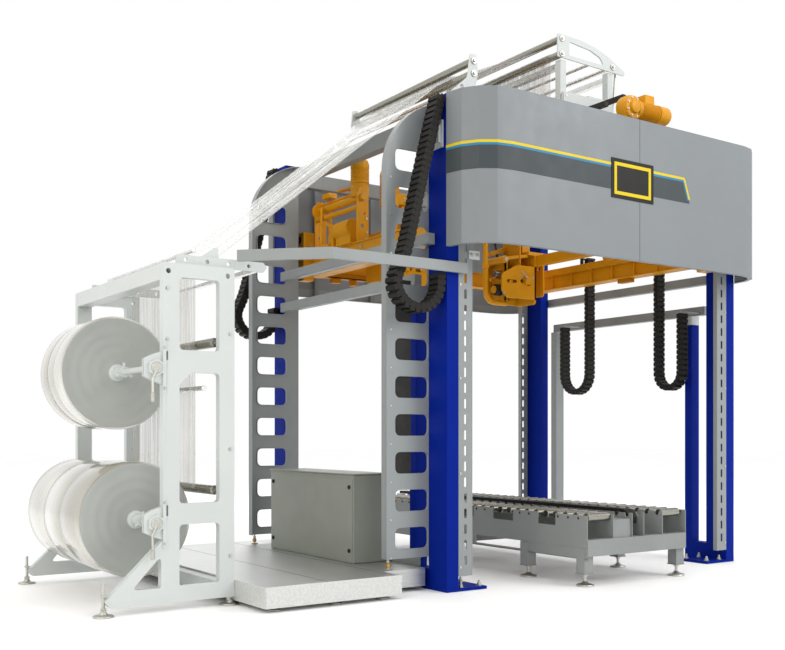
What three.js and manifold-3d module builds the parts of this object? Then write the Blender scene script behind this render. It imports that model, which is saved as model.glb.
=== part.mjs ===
// Stretch-hood pallet wrapper: four blue columns carry a lift with four film-stretching units over a
// pallet conveyor. A reel rack at the left feeds the film up and over to the film head on top.
// Units are millimetres, +Z is up, +X runs to the right along the front and +Y runs to the rear.
// Everything is laid out from the centre of the four columns; the last lines move the origin to the
// centre of the whole machine's footprint on the floor.

import * as THREE from 'three';
import { mergeVertices } from 'three/addons/utils/BufferGeometryUtils.js';
import Module from 'manifold-3d';

const wasm = await Module();
wasm.setup();

// ---- driving dimensions ----
const COL = { xOut: 1478, xIn: 1382, yOut: 1200, yIn: 1000, top: 3275 };
const BASE = { t: 20, xIn: 1139, yIn: 930 };
const POST = { yOut: 850, yIn: 780, top: 2030, sill: 140 };
const STRIP = { xIn: 1265, t: 6, flange: 36, z0: 100, z1: 3140 };
const PANEL = { x0: -1819, x1: -1362, yOut: 998, t: 20, z0: 220, top: 3270, arc: 500, sheet: 6, flange: 60 };
const WINDOW = { x0: -1750, x1: -1480, h: 145, pitch: 250, first: 279, count: 11, cut: 30 };
const COVER = { x: 1484, y: 1520, yEnd: 1203, r: 300, t: 6, z0: 2270, z1: 3276, facets: 4 };
const RING = { x: 1358, y: 1190, w: 80, z0: 3150, z1: 3270 };
const RAIL = { xIn: 1485, xOut: 1545, upper: [2300, 2375], lower: [2045, 2120] };
const CABINET = { x0: -1819, x1: -1506, y0: -596, y1: 613, z0: 152, z1: 760 };
const PLATFORM = { x0: -2818, xStep: -1855, x1: -1520, y0: -1225, yStep: -1020, y1: 1200, z0: 30, z1: 150 };
const RACK = { x0: -3283, x1: -2823, y: 800, t: 50, top: 2052, toe: -3634, z0: 50 };
const REEL = { x: -3324, spindle: 20, upper: { z: 1430, r: 360, y0: -160, y1: 280 },
  lower: { z: 520, r: 355, y0: -490, y1: 600 } };
const IDLER = { x: -2924, r: 30, upperZ: 1600, lowerZ: 700 };
const FILM = { y: 550, t: 3, riserX: -2960 };
const INFEED = { x: -924, r: 28, upperZ: 3722, lowerZ: 3632, y: 780 };
const HEAD = { x0: 0, x1: 720, y: 700, z0: 3960, z1: 4150, plate: 12, r: 28 };
const CONVEYOR = { x0: -549, x1: 461, y0: -1550, y1: 1350, beam: [206, 320], top: 452 };
const ROLLER = { z: 470, r: 30, shaft: 10 };
const LANES = [[-512, -302], [220, 416]];
const ROLLER_Y = [-1300, -700, -100, 500, 1100];
const LIFT = { x0: 1080, x1: 1180, y: 1140, yIn: 1040, z0: 2390, z1: 2570, shoe: 1262 };
const SPREAD = { x: 830, half: 40, z0: 2576, z1: 2660 };
const UNIT = { y: 550, sideY: 130, z0: 2200, frontUp: 300, armZ: 2900, motorTop: 3255 };
const GAP = 1;

// ---- colours ----
const LOOK = {
  blue: [0x0f2da0, 0.45, 0.1], grey: [0x9ba0a3, 0.5, 0.2], rackWhite: [0xe1e6e4, 0.45, 0.1],
  orange: [0xd28c10, 0.5, 0.1], black: [0x1e1c16, 0.7, 0.0], steel: [0xb9bab2, 0.3, 0.9],
  conveyor: [0xa5a8a0, 0.5, 0.2], film: [0xf0f1ee, 0.15, 0.0], cabinet: [0x8d918c, 0.5, 0.2],
};

// ---- solids ----
function toSolid(geometry) {
  const clean = geometry.index ? geometry.toNonIndexed() : geometry.clone();
  clean.deleteAttribute('normal');
  clean.deleteAttribute('uv');
  const merged = mergeVertices(clean, 1e-3);
  const vertProperties = Float32Array.from(merged.attributes.position.array);
  const triVerts = Uint32Array.from(merged.index.array);
  return new wasm.Manifold(new wasm.Mesh({ numProp: 3, vertProperties, triVerts }));
}

function box(x0, x1, y0, y1, z0, z1) {
  const g = new THREE.BoxGeometry(x1 - x0, y1 - y0, z1 - z0);
  g.translate((x0 + x1) / 2, (y0 + y1) / 2, (z0 + z1) / 2);
  return toSolid(g);
}

function rod(axis, centre, r, from, to, sides = 20) {
  const g = new THREE.CylinderGeometry(r, r, to - from, sides);
  const [a, b] = centre;
  const middle = (from + to) / 2;
  if (axis === 'x') {
    g.rotateZ(-Math.PI / 2);
    g.translate(middle, a, b);
  } else if (axis === 'y') {
    g.translate(a, middle, b);
  } else {
    g.rotateX(Math.PI / 2);
    g.translate(a, b, middle);
  }
  return toSolid(g);
}

function outline(points) {
  const shape = new THREE.Shape();
  points.forEach(([x, y], i) => (i ? shape.lineTo(x, y) : shape.moveTo(x, y)));
  shape.closePath();
  return shape;
}

// A plate drawn in X and Z, standing between y0 and y1.
function plateXZ(shape, y0, y1) {
  const g = new THREE.ExtrudeGeometry(shape, { depth: y1 - y0, bevelEnabled: false });
  g.rotateX(Math.PI / 2);
  g.translate(0, y1, 0);
  return toSolid(g);
}

// A plate drawn in X and Y, standing between z0 and z1.
function plateXY(shape, z0, z1) {
  const g = new THREE.ExtrudeGeometry(shape, { depth: z1 - z0, bevelEnabled: false });
  g.translate(0, 0, z0);
  return toSolid(g);
}

// A plate drawn in Y and Z, standing between x0 and x1.
function plateYZ(shape, x0, x1) {
  const g = new THREE.ExtrudeGeometry(shape, { depth: x1 - x0, bevelEnabled: false });
  g.rotateX(Math.PI / 2);
  g.rotateZ(Math.PI / 2);
  g.translate(x0, 0, 0);
  return toSolid(g);
}

function join(...solids) {
  return solids.reduce((a, b) => a.add(b));
}

function arcPoints(cx, cy, r, fromDeg, toDeg, steps) {
  return Array.from({ length: steps + 1 }, (_, i) => {
    const a = THREE.MathUtils.degToRad(fromDeg + ((toDeg - fromDeg) * i) / steps);
    return [cx + r * Math.cos(a), cy + r * Math.sin(a)];
  });
}

// A band of constant thickness that follows an open line of points.
function band(points, t) {
  const side = points.map(([x, y], i) => {
    const [px, py] = points[Math.max(i - 1, 0)];
    const [nx, ny] = points[Math.min(i + 1, points.length - 1)];
    const into = new THREE.Vector2(x - px, y - py).normalize();
    const out = new THREE.Vector2(nx - x, ny - y).normalize();
    const along = into.clone().add(out).normalize();
    const spread = t / 2 / Math.max(0.5, Math.abs(along.dot(into.length() ? into : out)));
    return [along.y * spread, -along.x * spread];
  });
  const right = points.map(([x, y], i) => [x + side[i][0], y + side[i][1]]);
  const left = points.map(([x, y], i) => [x - side[i][0], y - side[i][1]]).reverse();
  return outline([...right, ...left]);
}

const machine = new THREE.Group();

function place(name, solid, look) {
  const { vertProperties, triVerts, numProp } = solid.getMesh();
  const position = new Float32Array((vertProperties.length / numProp) * 3);
  for (let i = 0; i < position.length / 3; i += 1) {
    for (let k = 0; k < 3; k += 1) position[3 * i + k] = vertProperties[numProp * i + k];
  }
  const geometry = new THREE.BufferGeometry();
  geometry.setAttribute('position', new THREE.BufferAttribute(position, 3));
  geometry.setIndex(new THREE.BufferAttribute(Uint32Array.from(triVerts), 1));
  geometry.computeVertexNormals();
  const [color, roughness, metalness] = LOOK[look];
  const mesh = new THREE.Mesh(geometry, new THREE.MeshStandardMaterial({ color, roughness, metalness }));
  mesh.name = name;
  machine.add(mesh);
}

// A box given by its sizes outward from the machine's centre, on the side sx and end sy.
function cornerBox(sx, sy, xIn, xOut, yIn, yOut, z0, z1) {
  const xs = [sx * xIn, sx * xOut].sort((a, b) => a - b);
  const ys = [sy * yIn, sy * yOut].sort((a, b) => a - b);
  return box(xs[0], xs[1], ys[0], ys[1], z0, z1);
}

const CORNERS = [
  ['front', 'left', -1, -1], ['front', 'right', 1, -1], ['rear', 'left', -1, 1], ['rear', 'right', 1, 1],
];

// ---- columns, each with its welded base plate and, where it has one, its support post ----
function column(sx, sy, hasPost) {
  const parts = [
    cornerBox(sx, sy, COL.xIn, COL.xOut, COL.yIn, COL.yOut, 0, COL.top),
    cornerBox(sx, sy, BASE.xIn, COL.xOut, BASE.yIn, COL.yOut, 0, BASE.t),
  ];
  if (hasPost) {
    parts.push(cornerBox(sx, sy, COL.xIn, COL.xOut, POST.yIn, COL.yIn + GAP, 0, POST.sill));
    parts.push(cornerBox(sx, sy, COL.xIn, COL.xOut, POST.yIn, POST.yOut, 0, POST.top));
  }
  return join(...parts);
}

function guideStrip(sx, sy) {
  const web = cornerBox(sx, sy, STRIP.xIn, COL.xIn - GAP, COL.yOut - STRIP.t, COL.yOut, STRIP.z0, STRIP.z1);
  const edge = [STRIP.xIn, STRIP.xIn + STRIP.t, COL.yOut - STRIP.flange, COL.yOut];
  return join(web, cornerBox(sx, sy, ...edge, STRIP.z0, STRIP.z1));
}

for (const [end, side, sx, sy] of CORNERS) {
  const hasPost = !(side === 'left' && end === 'rear');
  place(`column_${end}_${side}`, column(sx, sy, hasPost), 'blue');
  place(`guide_strip_${end}_${side}`, guideStrip(sx, sy), 'grey');
}

// ---- chain guide panels beside the left columns: a windowed sheet with a turned-in outer edge ----
function ladderPanel(sy) {
  const cx = PANEL.x0 + PANEL.arc;
  const cz = PANEL.top - PANEL.arc;
  const arc = arcPoints(cx, cz, PANEL.arc, 180, 95, 8);
  const shape = outline([[PANEL.x0, PANEL.z0], ...arc, [PANEL.x1, cz + PANEL.arc - 2], [PANEL.x1, PANEL.z0]]);
  for (let i = 0; i < WINDOW.count; i += 1) {
    const z0 = WINDOW.first + i * WINDOW.pitch;
    const z1 = z0 + WINDOW.h;
    const c = WINDOW.cut;
    const hole = outline([[WINDOW.x0 + c, z0], [WINDOW.x1, z0], [WINDOW.x1, z1], [WINDOW.x0 + c, z1],
      [WINDOW.x0, z1 - c], [WINDOW.x0, z0 + c]]);
    shape.holes.push(hole);
  }
  const inner = PANEL.yOut - PANEL.t;
  const ys = [sy * inner, sy * PANEL.yOut].sort((a, b) => a - b);
  const sheet = sy < 0 ? [ys[0], ys[0] + PANEL.sheet] : [ys[1] - PANEL.sheet, ys[1]];
  const flangeLine = [[PANEL.x0 + 3, PANEL.z0], ...arcPoints(cx, cz, PANEL.arc - 3, 180, 95, 8)];
  const flange = sy < 0 ? [ys[0], ys[0] + PANEL.flange] : [ys[1] - PANEL.flange, ys[1]];
  return join(plateXZ(shape, ...sheet), plateXZ(band(flangeLine, PANEL.sheet), ...flange));
}
place('ladder_panel_front', ladderPanel(-1), 'grey');
place('ladder_panel_rear', ladderPanel(1), 'grey');

// ---- front and rear covers: a sheet bent in flats round both corners, with a turned lower lip ----
function cover(sy) {
  const { x, y, yEnd, r, facets } = COVER;
  const line = [[-x, sy * yEnd], ...arcPoints(-x + r, sy * (y - r), r, 180, 180 + sy * -90, facets),
    ...arcPoints(x - r, sy * (y - r), r, sy * 90, 0, facets), [x, sy * yEnd]];
  return plateXY(band(line, COVER.t), COVER.z0, COVER.z1);
}
place('front_cover', cover(-1), 'grey');
place('rear_cover', cover(1), 'grey');

// ---- top frame ring between the column heads ----
const ringOuter = box(-RING.x, RING.x, -RING.y, RING.y, RING.z0, RING.z1);
const ringInX = RING.x - RING.w;
const ringInY = RING.y - RING.w;
const ringInner = box(-ringInX, ringInX, -ringInY, ringInY, RING.z0 - 9, RING.z1 + 9);
place('top_frame', ringOuter.subtract(ringInner), 'grey');

// ---- side rails, base skirt, bent bar ----
const RAIL_ENDS = {
  left: { upper: [-1080, 970], lower: [-930, 970] },
  right: { upper: [-1080, 1190], lower: [-900, 930] },
};
for (const [side, sx] of [['left', -1], ['right', 1]]) {
  for (const level of ['upper', 'lower']) {
    const [y0, y1] = RAIL_ENDS[side][level];
    const solid = cornerBox(sx, 1, RAIL.xIn, RAIL.xOut, y0, y1, ...RAIL[level]);
    place(`rail_${side}_${level}`, solid, 'grey');
  }
}
place('base_skirt', box(-1500, -1486, -920, 920, 0, 236), 'grey');
const barLine = [[-1334, -1232], [-2374, -1232], [-2798, -812]];
place('bent_bar', plateXY(band(barLine, 20), 2100, 2170), 'grey');

// ---- cabinet and platform ----
const { x0: cabX0, x1: cabX1, y0: cabY0, y1: cabY1, z0: cabZ0, z1: cabZ1 } = CABINET;
place('control_cabinet', box(cabX0, cabX1, cabY0, cabY1, cabZ0, cabZ1), 'cabinet');
const platformShape = outline([
  [PLATFORM.x0, PLATFORM.y0], [PLATFORM.xStep, PLATFORM.y0], [PLATFORM.xStep, PLATFORM.yStep],
  [PLATFORM.x1, PLATFORM.yStep], [PLATFORM.x1, PLATFORM.y1], [PLATFORM.x0, PLATFORM.y1],
]);
place('platform', plateXY(platformShape, PLATFORM.z0, PLATFORM.z1), 'cabinet');

// ---- reel rack: two side frames cut from thick plate, on levelling feet, joined by crossbars ----
function rackFoot(x, y) {
  const disc = rod('z', [x, y], 60, 0, 14, 16);
  return join(disc, rod('z', [x, y], 9, 5, 190, 8));
}

function rackSide(sy) {
  const post = 103;
  const shape = outline([[RACK.x1, RACK.top], [RACK.x1, RACK.z0], [RACK.toe + 40, RACK.z0],
    [RACK.toe, RACK.z0 + 40], [RACK.toe + 30, RACK.z0 + 60], [RACK.x0, 420], [RACK.x0, RACK.top]]);
  const holes = [[1540, 1970, 0], [630, 1408, 60], [142, 506, 0]];
  for (const [z0, z1, cut] of holes) {
    const x0 = RACK.x0 + post;
    const x1 = RACK.x1 - post + 3;
    const corners = [[x0, z0], [x1, z0], [x1, z1], [x0 + cut, z1]];
    shape.holes.push(outline(cut ? [...corners, [x0, z1 - cut]] : corners));
  }
  shape.holes.push(outline([[RACK.x0 - 10, 140], [RACK.x0 - 10, 330], [RACK.x0 - 190, 140]]));
  const y = sy * RACK.y;
  const frame = plateXZ(shape, y - RACK.t / 2, y + RACK.t / 2);
  return join(frame, rackFoot(RACK.toe + 5, y), rackFoot(RACK.x1 - 25, y));
}
place('rack_side_front', rackSide(-1), 'rackWhite');
place('rack_side_rear', rackSide(1), 'rackWhite');
const rackInner = RACK.y - RACK.t / 2 - GAP;
place('rack_crossbar_top', box(RACK.x0, RACK.x0 + 100, -rackInner, rackInner, 1950, 2050), 'rackWhite');
place('rack_crossbar_base', box(-2903, -2825, -rackInner, rackInner, 52, 140), 'rackWhite');

// ---- reels on their spindles, idlers, film ----
function reel({ z, r, y0, y1 }) {
  const body = rod('y', [REEL.x, z], r, y0, y1, 40);
  return join(body, rod('y', [REEL.x, z], REEL.spindle, -765, 765, 12));
}
place('film_reel_upper', reel(REEL.upper), 'film');
place('film_reel_lower', reel(REEL.lower), 'film');

const rollerEnd = rackInner - GAP;
for (const level of ['upper', 'lower']) {
  const axis = [IDLER.x, IDLER[`${level}Z`]];
  place(`rack_idler_${level}`, rod('y', axis, IDLER.r, -rollerEnd, rollerEnd, 16), 'steel');
}

function filmSheet(points) {
  return plateXZ(band(points, FILM.t), -FILM.y, FILM.y);
}
place('film_riser', filmSheet([[FILM.riserX, IDLER.lowerZ], [FILM.riserX, 2040]]), 'film');
place('film_incline', filmSheet([[-2958, 2044], [INFEED.x - 40, 3668]]), 'film');
place('film_bridge', filmSheet([[INFEED.x - 36, 3671], [INFEED.x + 40, 3690], [-14, 4072]]), 'film');

// ---- infeed rollers on their arms ----
function infeedArm(sy) {
  const y0 = sy * (INFEED.y + 12);
  const ys = [sy * INFEED.y, y0].sort((a, b) => a - b);
  const foot = RING.z1 + GAP;
  const shape = outline([[-RING.x, foot], [-1250, foot], [-900, 3560], [-880, 3640], [-896, 3770],
    [-955, 3770], [-970, 3600]]);
  const sole = box(-RING.x, -RING.x + 78, ys[0] - 40, ys[1] + 40, foot, foot + 12);
  return join(plateXZ(shape, ...ys), sole);
}
place('infeed_arm_front', infeedArm(-1), 'rackWhite');
place('infeed_arm_rear', infeedArm(1), 'rackWhite');
const infeedEnd = INFEED.y - GAP;
for (const level of ['upper', 'lower']) {
  const axis = [INFEED.x, INFEED[`${level}Z`]];
  place(`infeed_roller_${level}`, rod('y', axis, INFEED.r, -infeedEnd, infeedEnd, 16), 'steel');
}

// ---- film head: stand, two arched plates, rollers ----
const headBeams = [[20, 80], [540, 600]];
const standParts = headBeams.map(([x0, x1]) => box(x0, x1, -RING.y, RING.y, RING.z1 + GAP, 3350));
for (const sy of [-1, 1]) {
  for (const [x0, x1] of headBeams) standParts.push(cornerBox(1, sy, x0, x1, 640, 698, 3340, HEAD.z0 - GAP));
  standParts.push(cornerBox(1, sy, 20, 600, 650, 698, 3560, 3640));
}
standParts.push(box(300, 560, -720, -690, 3300, 3720));
place('head_stand', join(...standParts), 'rackWhite');

function headPlate(sy) {
  const { x0, x1, z0, z1 } = HEAD;
  const top = [[x0 + 60, z1], [x0 + 300, z1 - 12], [x0 + 520, z1 - 66], [x1, z0 + 30]];
  const shape = outline([[x0 - 20, z0 + 10], [x1, z0], ...top.reverse(), [x0 - 20, z1]]);
  const arch = [[x0 + 420, z1 - 80], [x0 + 280, z1 - 46], [x0 + 110, z1 - 34]];
  shape.holes.push(outline([[x0 + 110, z0 + 40], [x0 + 470, z0 + 40], ...arch]));
  const ys = [sy * HEAD.y, sy * (HEAD.y + HEAD.plate)].sort((a, b) => a - b);
  return plateXZ(shape, ...ys);
}
place('head_plate_front', headPlate(-1), 'rackWhite');
place('head_plate_rear', headPlate(1), 'rackWhite');
const headEnd = HEAD.y - GAP;
place('head_roller_upper', rod('y', [20, HEAD.z1 - 34], HEAD.r, -headEnd, headEnd, 16), 'steel');
place('head_roller_lower', rod('y', [20, HEAD.z0 + 36], HEAD.r, -headEnd, headEnd, 16), 'steel');

// ---- lift drive on the front of the top frame ----
const gearbox = box(230, 340, -1188, -1112, RING.z1 + GAP, 3590);
const gearHousing = rod('y', [285, 3500], 95, -1240, -1112, 20);
const motor = rod('x', [-1165, 3500], 72, 330, 690, 20);
place('lift_gearmotor', join(gearbox, gearHousing, motor), 'orange');

// ---- conveyor: a frame with two roller lanes, driven roller pairs on through shafts, centre chain ----
function conveyorFrame() {
  const { x0, x1, y0, y1, top } = CONVEYOR;
  const [b0, b1] = CONVEYOR.beam;
  const parts = [
    box(x0, x0 + 30, y0, y1, b0 - 20, top),
    box(x1 - 40, x1, y0, y1, b0, top),
    box(-298, -286, y0, y1, b0 + 40, top),
    box(-286, -115, y0 + 12, y0 + 400, b0 + 60, top),
    box(-115, -103, y0, y1, b0 + 40, top),
    box(10, 22, y0, y1, b0 + 40, top),
    box(180, 216, y0, y1, b0 + 40, top),
  ];
  for (const y of [y0, -950, -300, 350, y1 - 60]) parts.push(box(x0, x1, y, y + 60, b0, b1));
  for (const x of [x0, x1 - 75]) {
    for (const y of [y0 + 20, -956, y1 - 100]) {
      parts.push(box(x, x + 75, y, y + 80, 83, b0 + 20));
      parts.push(rod('z', [x + 40, y + 40], 12, 6, 90, 8), rod('z', [x + 40, y + 40], 62, 0, 14, 16));
    }
  }
  return join(...parts);
}
place('conveyor_frame', conveyorFrame(), 'conveyor');

function conveyorRoller(y) {
  const c = [y, ROLLER.z];
  const drums = LANES.map(([a, b]) => rod('x', c, ROLLER.r, a, b, 16));
  return join(rod('x', c, ROLLER.shaft, LANES[0][0], LANES[1][1], 8), ...drums);
}
ROLLER_Y.forEach((y, i) => place(`conveyor_roller_${i + 1}`, conveyorRoller(y), 'steel'));

const curl = arcPoints(-1420, 430, 68, 90, 200, 6);
place('conveyor_chain', plateYZ(band([[1340, 498], ...curl], 24), -86, -7), 'black');

// ---- lift: a ring of box beams with guide shoes that run on the guide strips ----
function liftFrame() {
  const { x0, x1, y, yIn, z0, z1, shoe } = LIFT;
  const parts = [];
  for (const s of [-1, 1]) {
    parts.push(cornerBox(s, 1, x0, x1, -y, y, z0, z1));
    parts.push(cornerBox(1, s, -x1, x1, yIn, y, z0 + 50, z1));
  }
  for (const [, , sx, sy] of CORNERS) {
    parts.push(cornerBox(sx, sy, x1 - 20, shoe, y - 60, 1190, 2350, 2760));
  }
  return join(...parts);
}
place('lift_frame', liftFrame(), 'orange');

for (const [side, sx] of [['left', -1], ['right', 1]]) {
  const [xIn, xOut] = [SPREAD.x - SPREAD.half, SPREAD.x + SPREAD.half];
  const beam = cornerBox(sx, 1, xIn, xOut, -LIFT.y + 5, LIFT.y - 5, SPREAD.z0, SPREAD.z1);
  place(`spread_beam_${side}`, beam, 'orange');
}

// ---- stretch units: hangers over the spread beam, cheek plates, film roller, bow arm, gear motor ----
function bowArm(x, y, low) {
  const path = new THREE.CurvePath();
  path.add(new THREE.LineCurve3(new THREE.Vector3(x, y, UNIT.armZ), new THREE.Vector3(x, y, low + 108)));
  path.add(new THREE.QuadraticBezierCurve3(new THREE.Vector3(x, y, low + 108), new THREE.Vector3(x, y, low),
    new THREE.Vector3(x + 120, y, low)));
  path.add(new THREE.LineCurve3(new THREE.Vector3(x + 120, y, low), new THREE.Vector3(x + 240, y, low)));
  const section = outline(arcPoints(0, 0, 24, 0, 315, 7));
  return toSolid(new THREE.ExtrudeGeometry(section, { steps: 14, extrudePath: path, bevelEnabled: false }));
}

// The working parts hang below the spread beam by up to UNIT.z0; a front unit carries them higher by up.
function stretchUnit(up) {
  const y = UNIT.y;
  const s = UNIT.sideY;
  const beamIn = SPREAD.x - SPREAD.half - 4;
  const beamOut = SPREAD.x + SPREAD.half + 4;
  const hangerLow = Math.min(UNIT.z0 + 20 + up, SPREAD.z0 - 76);
  const z = (height) => UNIT.z0 + height + up;
  return join(
    box(700, beamOut + 41, y - s, y + s, SPREAD.z1 + 4, SPREAD.z1 + 34),
    box(beamOut, beamOut + 16, y - s, y + s, Math.max(hangerLow, 2300), SPREAD.z1 + 20),
    box(beamIn - 16, beamIn, y - s, y + s, hangerLow, SPREAD.z1 + 20 + up),
    box(380, beamIn, y - s, y - s + 14, z(60), z(360)),
    box(380, beamIn, y + s - 14, y + s, z(30), z(460)),
    box(270, beamIn, y - 30, y + 30, UNIT.armZ - 60, UNIT.armZ),
    box(690, beamIn, y - 50, y + 50, SPREAD.z1 + 10, UNIT.armZ + 50),
    box(470, 520, y - 70, y + s, z(40), z(440)),
    rod('x', [y, z(140)], 52, 400, beamIn - 10, 16),
    rod('x', [y, z(280)], 38, 400, beamIn - 10, 12),
    rod('y', [430, z(400)], 34, y - s, y + s, 12),
    rod('z', [740, y], 84, UNIT.armZ + 30, UNIT.motorTop, 16),
    box(560, 760, y - 60, y + 60, UNIT.armZ + 60, UNIT.armZ + 160),
    box(600, 640, y - s + 10, y + s, 2540 + up / 2, 2860),
    bowArm(300, y, z(22)),
  );
}

function mirrored(solid, sx, sy) {
  const { vertProperties, triVerts, numProp } = solid.getMesh();
  const flipped = Float32Array.from(vertProperties);
  for (let i = 0; i < flipped.length; i += numProp) {
    flipped[i] *= sx;
    flipped[i + 1] *= sy;
  }
  const tris = Uint32Array.from(triVerts);
  if (sx * sy < 0) {
    for (let i = 0; i < tris.length; i += 3) [tris[i], tris[i + 1]] = [tris[i + 1], tris[i]];
  }
  return new wasm.Manifold(new wasm.Mesh({ numProp, vertProperties: flipped, triVerts: tris }));
}
for (const [end, side, sx, sy] of CORNERS) {
  const unit = stretchUnit(end === 'front' ? UNIT.frontUp : 0);
  place(`stretch_unit_${end}_${side}`, mirrored(unit, sx, sy), 'orange');
}

// ---- energy chains: hanging loops ----
const CHAIN = { t: 50, x0: 1240, x1: 1330, leftT: 66, leftY0: -1196, leftY1: -1090 };
function rightChain(yMove, yFix) {
  const r = Math.abs(yFix - yMove) / 2;
  const centre = (yMove + yFix) / 2;
  const loop = arcPoints(centre, 1430 + r, r, 0, -180, 8);
  const inOrder = yMove > yFix ? loop : [...loop].reverse();
  return plateYZ(band([[yMove, 2640], ...inOrder, [yFix, 2050]], CHAIN.t), CHAIN.x0, CHAIN.x1);
}
place('energy_chain_right_front', rightChain(-585, -832), 'black');
place('energy_chain_right_rear', rightChain(237, 558), 'black');

function leftChain(sy) {
  const loop = arcPoints(-1690, 2030, 176, 180, 360, 10);
  const line = [[-1515, 3262], [-1574, 3036], [-1684, 2611], [-1779, 2236], ...loop, [-1514, 2100]];
  const ys = [sy * -CHAIN.leftY0, sy * -CHAIN.leftY1].sort((a, b) => a - b);
  return plateXZ(band(line, CHAIN.leftT), ...ys);
}
place('energy_chain_left_front', leftChain(-1), 'black');
place('energy_chain_left_rear', leftChain(1), 'black');

// ---- origin: the centre of the footprint of everything, on the floor ----
const footprint = new THREE.Box3().setFromObject(machine);
const middle = footprint.getCenter(new THREE.Vector3());
machine.position.set(-middle.x, -middle.y, -footprint.min.z);
machine.updateMatrixWorld(true);

export default machine;
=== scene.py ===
"""Looks for the stretch-hood pallet wrapper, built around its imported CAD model.

All measures are metres, +Z up. Pieces are drawn from the centre of the four columns, with +X to the
right along the front and +Y to the rear, and are then moved to the frame's own origin by CENTRE.
"""

import math

import bmesh
import bpy
from mathutils import Matrix, Vector
from mathutils.geometry import tessellate_polygon


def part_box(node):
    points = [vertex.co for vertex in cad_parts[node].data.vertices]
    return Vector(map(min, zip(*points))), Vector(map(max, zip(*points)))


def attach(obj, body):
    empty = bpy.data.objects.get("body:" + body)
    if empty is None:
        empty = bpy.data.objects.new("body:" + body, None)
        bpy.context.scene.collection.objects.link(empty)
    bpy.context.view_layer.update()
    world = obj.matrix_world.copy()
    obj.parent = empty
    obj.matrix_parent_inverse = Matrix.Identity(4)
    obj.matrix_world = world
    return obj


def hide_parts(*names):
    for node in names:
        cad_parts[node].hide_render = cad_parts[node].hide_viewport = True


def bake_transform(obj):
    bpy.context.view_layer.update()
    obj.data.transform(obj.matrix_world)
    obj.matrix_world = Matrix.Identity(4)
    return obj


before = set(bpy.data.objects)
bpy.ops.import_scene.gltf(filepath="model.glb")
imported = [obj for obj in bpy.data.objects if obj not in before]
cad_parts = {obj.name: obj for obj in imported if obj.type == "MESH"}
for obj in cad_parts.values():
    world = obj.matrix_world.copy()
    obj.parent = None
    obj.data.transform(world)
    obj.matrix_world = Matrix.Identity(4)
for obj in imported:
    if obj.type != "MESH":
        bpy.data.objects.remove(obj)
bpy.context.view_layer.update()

front_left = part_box("column_front_left")
rear_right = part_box("column_rear_right")
CENTRE = Vector(((front_left[0].x + rear_right[1].x) / 2, (front_left[0].y + rear_right[1].y) / 2, 0))
ENDS = {"front": -1, "rear": 1}
SIDES = {"left": -1, "right": 1}
CORNERS = [(end, side, sx, sy) for end, sy in ENDS.items() for side, sx in SIDES.items()]
LEVELS = ("upper", "lower")


def node_box(node):
    """The CAD node's lowest and highest corners, measured from the centre of the columns."""
    low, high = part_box(node)
    return low - CENTRE, high - CENTRE


# ---- camera, light and floor ----
CAMERA_PLACE = Vector((-5.5635, -6.52, 1.045))
CAMERA_TURN = math.radians(-34.475)
LENS_MM = 46.9
VIEW_RISE = 0.1382

camera = bpy.data.objects.new("camera", bpy.data.cameras.new("camera"))
camera.data.lens = LENS_MM
camera.data.sensor_width = 36
camera.data.shift_y = VIEW_RISE
camera.data.clip_end = 200
camera.location = CAMERA_PLACE + CENTRE
camera.rotation_euler = (math.radians(90), 0, CAMERA_TURN)
bpy.context.scene.collection.objects.link(camera)
bpy.context.scene.camera = camera
bpy.context.scene.view_settings.view_transform = "Standard"


def area_light(name, place, target, size, power, colour):
    """A rectangular lamp that faces its target."""
    lamp = bpy.data.lights.new(name, "AREA")
    lamp.shape = "RECTANGLE"
    lamp.size, lamp.size_y = size
    lamp.energy = power
    lamp.color = colour
    thing = bpy.data.objects.new(name, lamp)
    thing.location = Vector(place) + CENTRE
    aim = Vector(target) - Vector(place)
    thing.rotation_euler = aim.to_track_quat("-Z", "Y").to_euler()
    bpy.context.scene.collection.objects.link(thing)


area_light("key", (4.5, -9.5, 7.5), (0, 0, 1.8), (5, 5), 430, (0.98, 0.99, 1.0))
area_light("fill", (-9, -3, 5), (0, 0, 1.8), (6, 5), 150, (1.0, 0.90, 0.74))
area_light("rear", (2, 9, 8), (0, 0, 2), (6, 6), 180, (0.98, 0.98, 1.0))
area_light("top", (0, 0, 9.5), (0, 0, 0), (8, 8), 120, (1, 1, 1))

world = bpy.data.worlds.new("studio")
world.use_nodes = True
sky = world.node_tree.nodes["Background"]
sky.inputs["Color"].default_value = (1.0, 1.0, 1.0, 1)
sky.inputs["Strength"].default_value = 1.0
bpy.context.scene.world = world


# ---- materials ----
# Nearly all of a noise pattern lies between these two values.
NOISE_SPAN = (0.3, 0.7)


def new_material(name):
    """An empty node material, its tree and its shader."""
    made = bpy.data.materials.new(name)
    made.use_nodes = True
    tree = made.node_tree
    return made, tree, tree.nodes["Principled BSDF"]


def noise(tree, scale, detail=3.0, stretch=(1, 1, 1)):
    """A noise pattern fixed to the piece, finer along the axes with a larger stretch."""
    coords = tree.nodes.new("ShaderNodeTexCoord")
    mapping = tree.nodes.new("ShaderNodeMapping")
    mapping.inputs["Scale"].default_value = stretch
    pattern = tree.nodes.new("ShaderNodeTexNoise")
    pattern.inputs["Scale"].default_value = scale
    pattern.inputs["Detail"].default_value = detail
    tree.links.new(coords.outputs["Object"], mapping.inputs["Vector"])
    tree.links.new(mapping.outputs["Vector"], pattern.inputs["Vector"])
    return pattern.outputs["Fac"]


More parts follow.
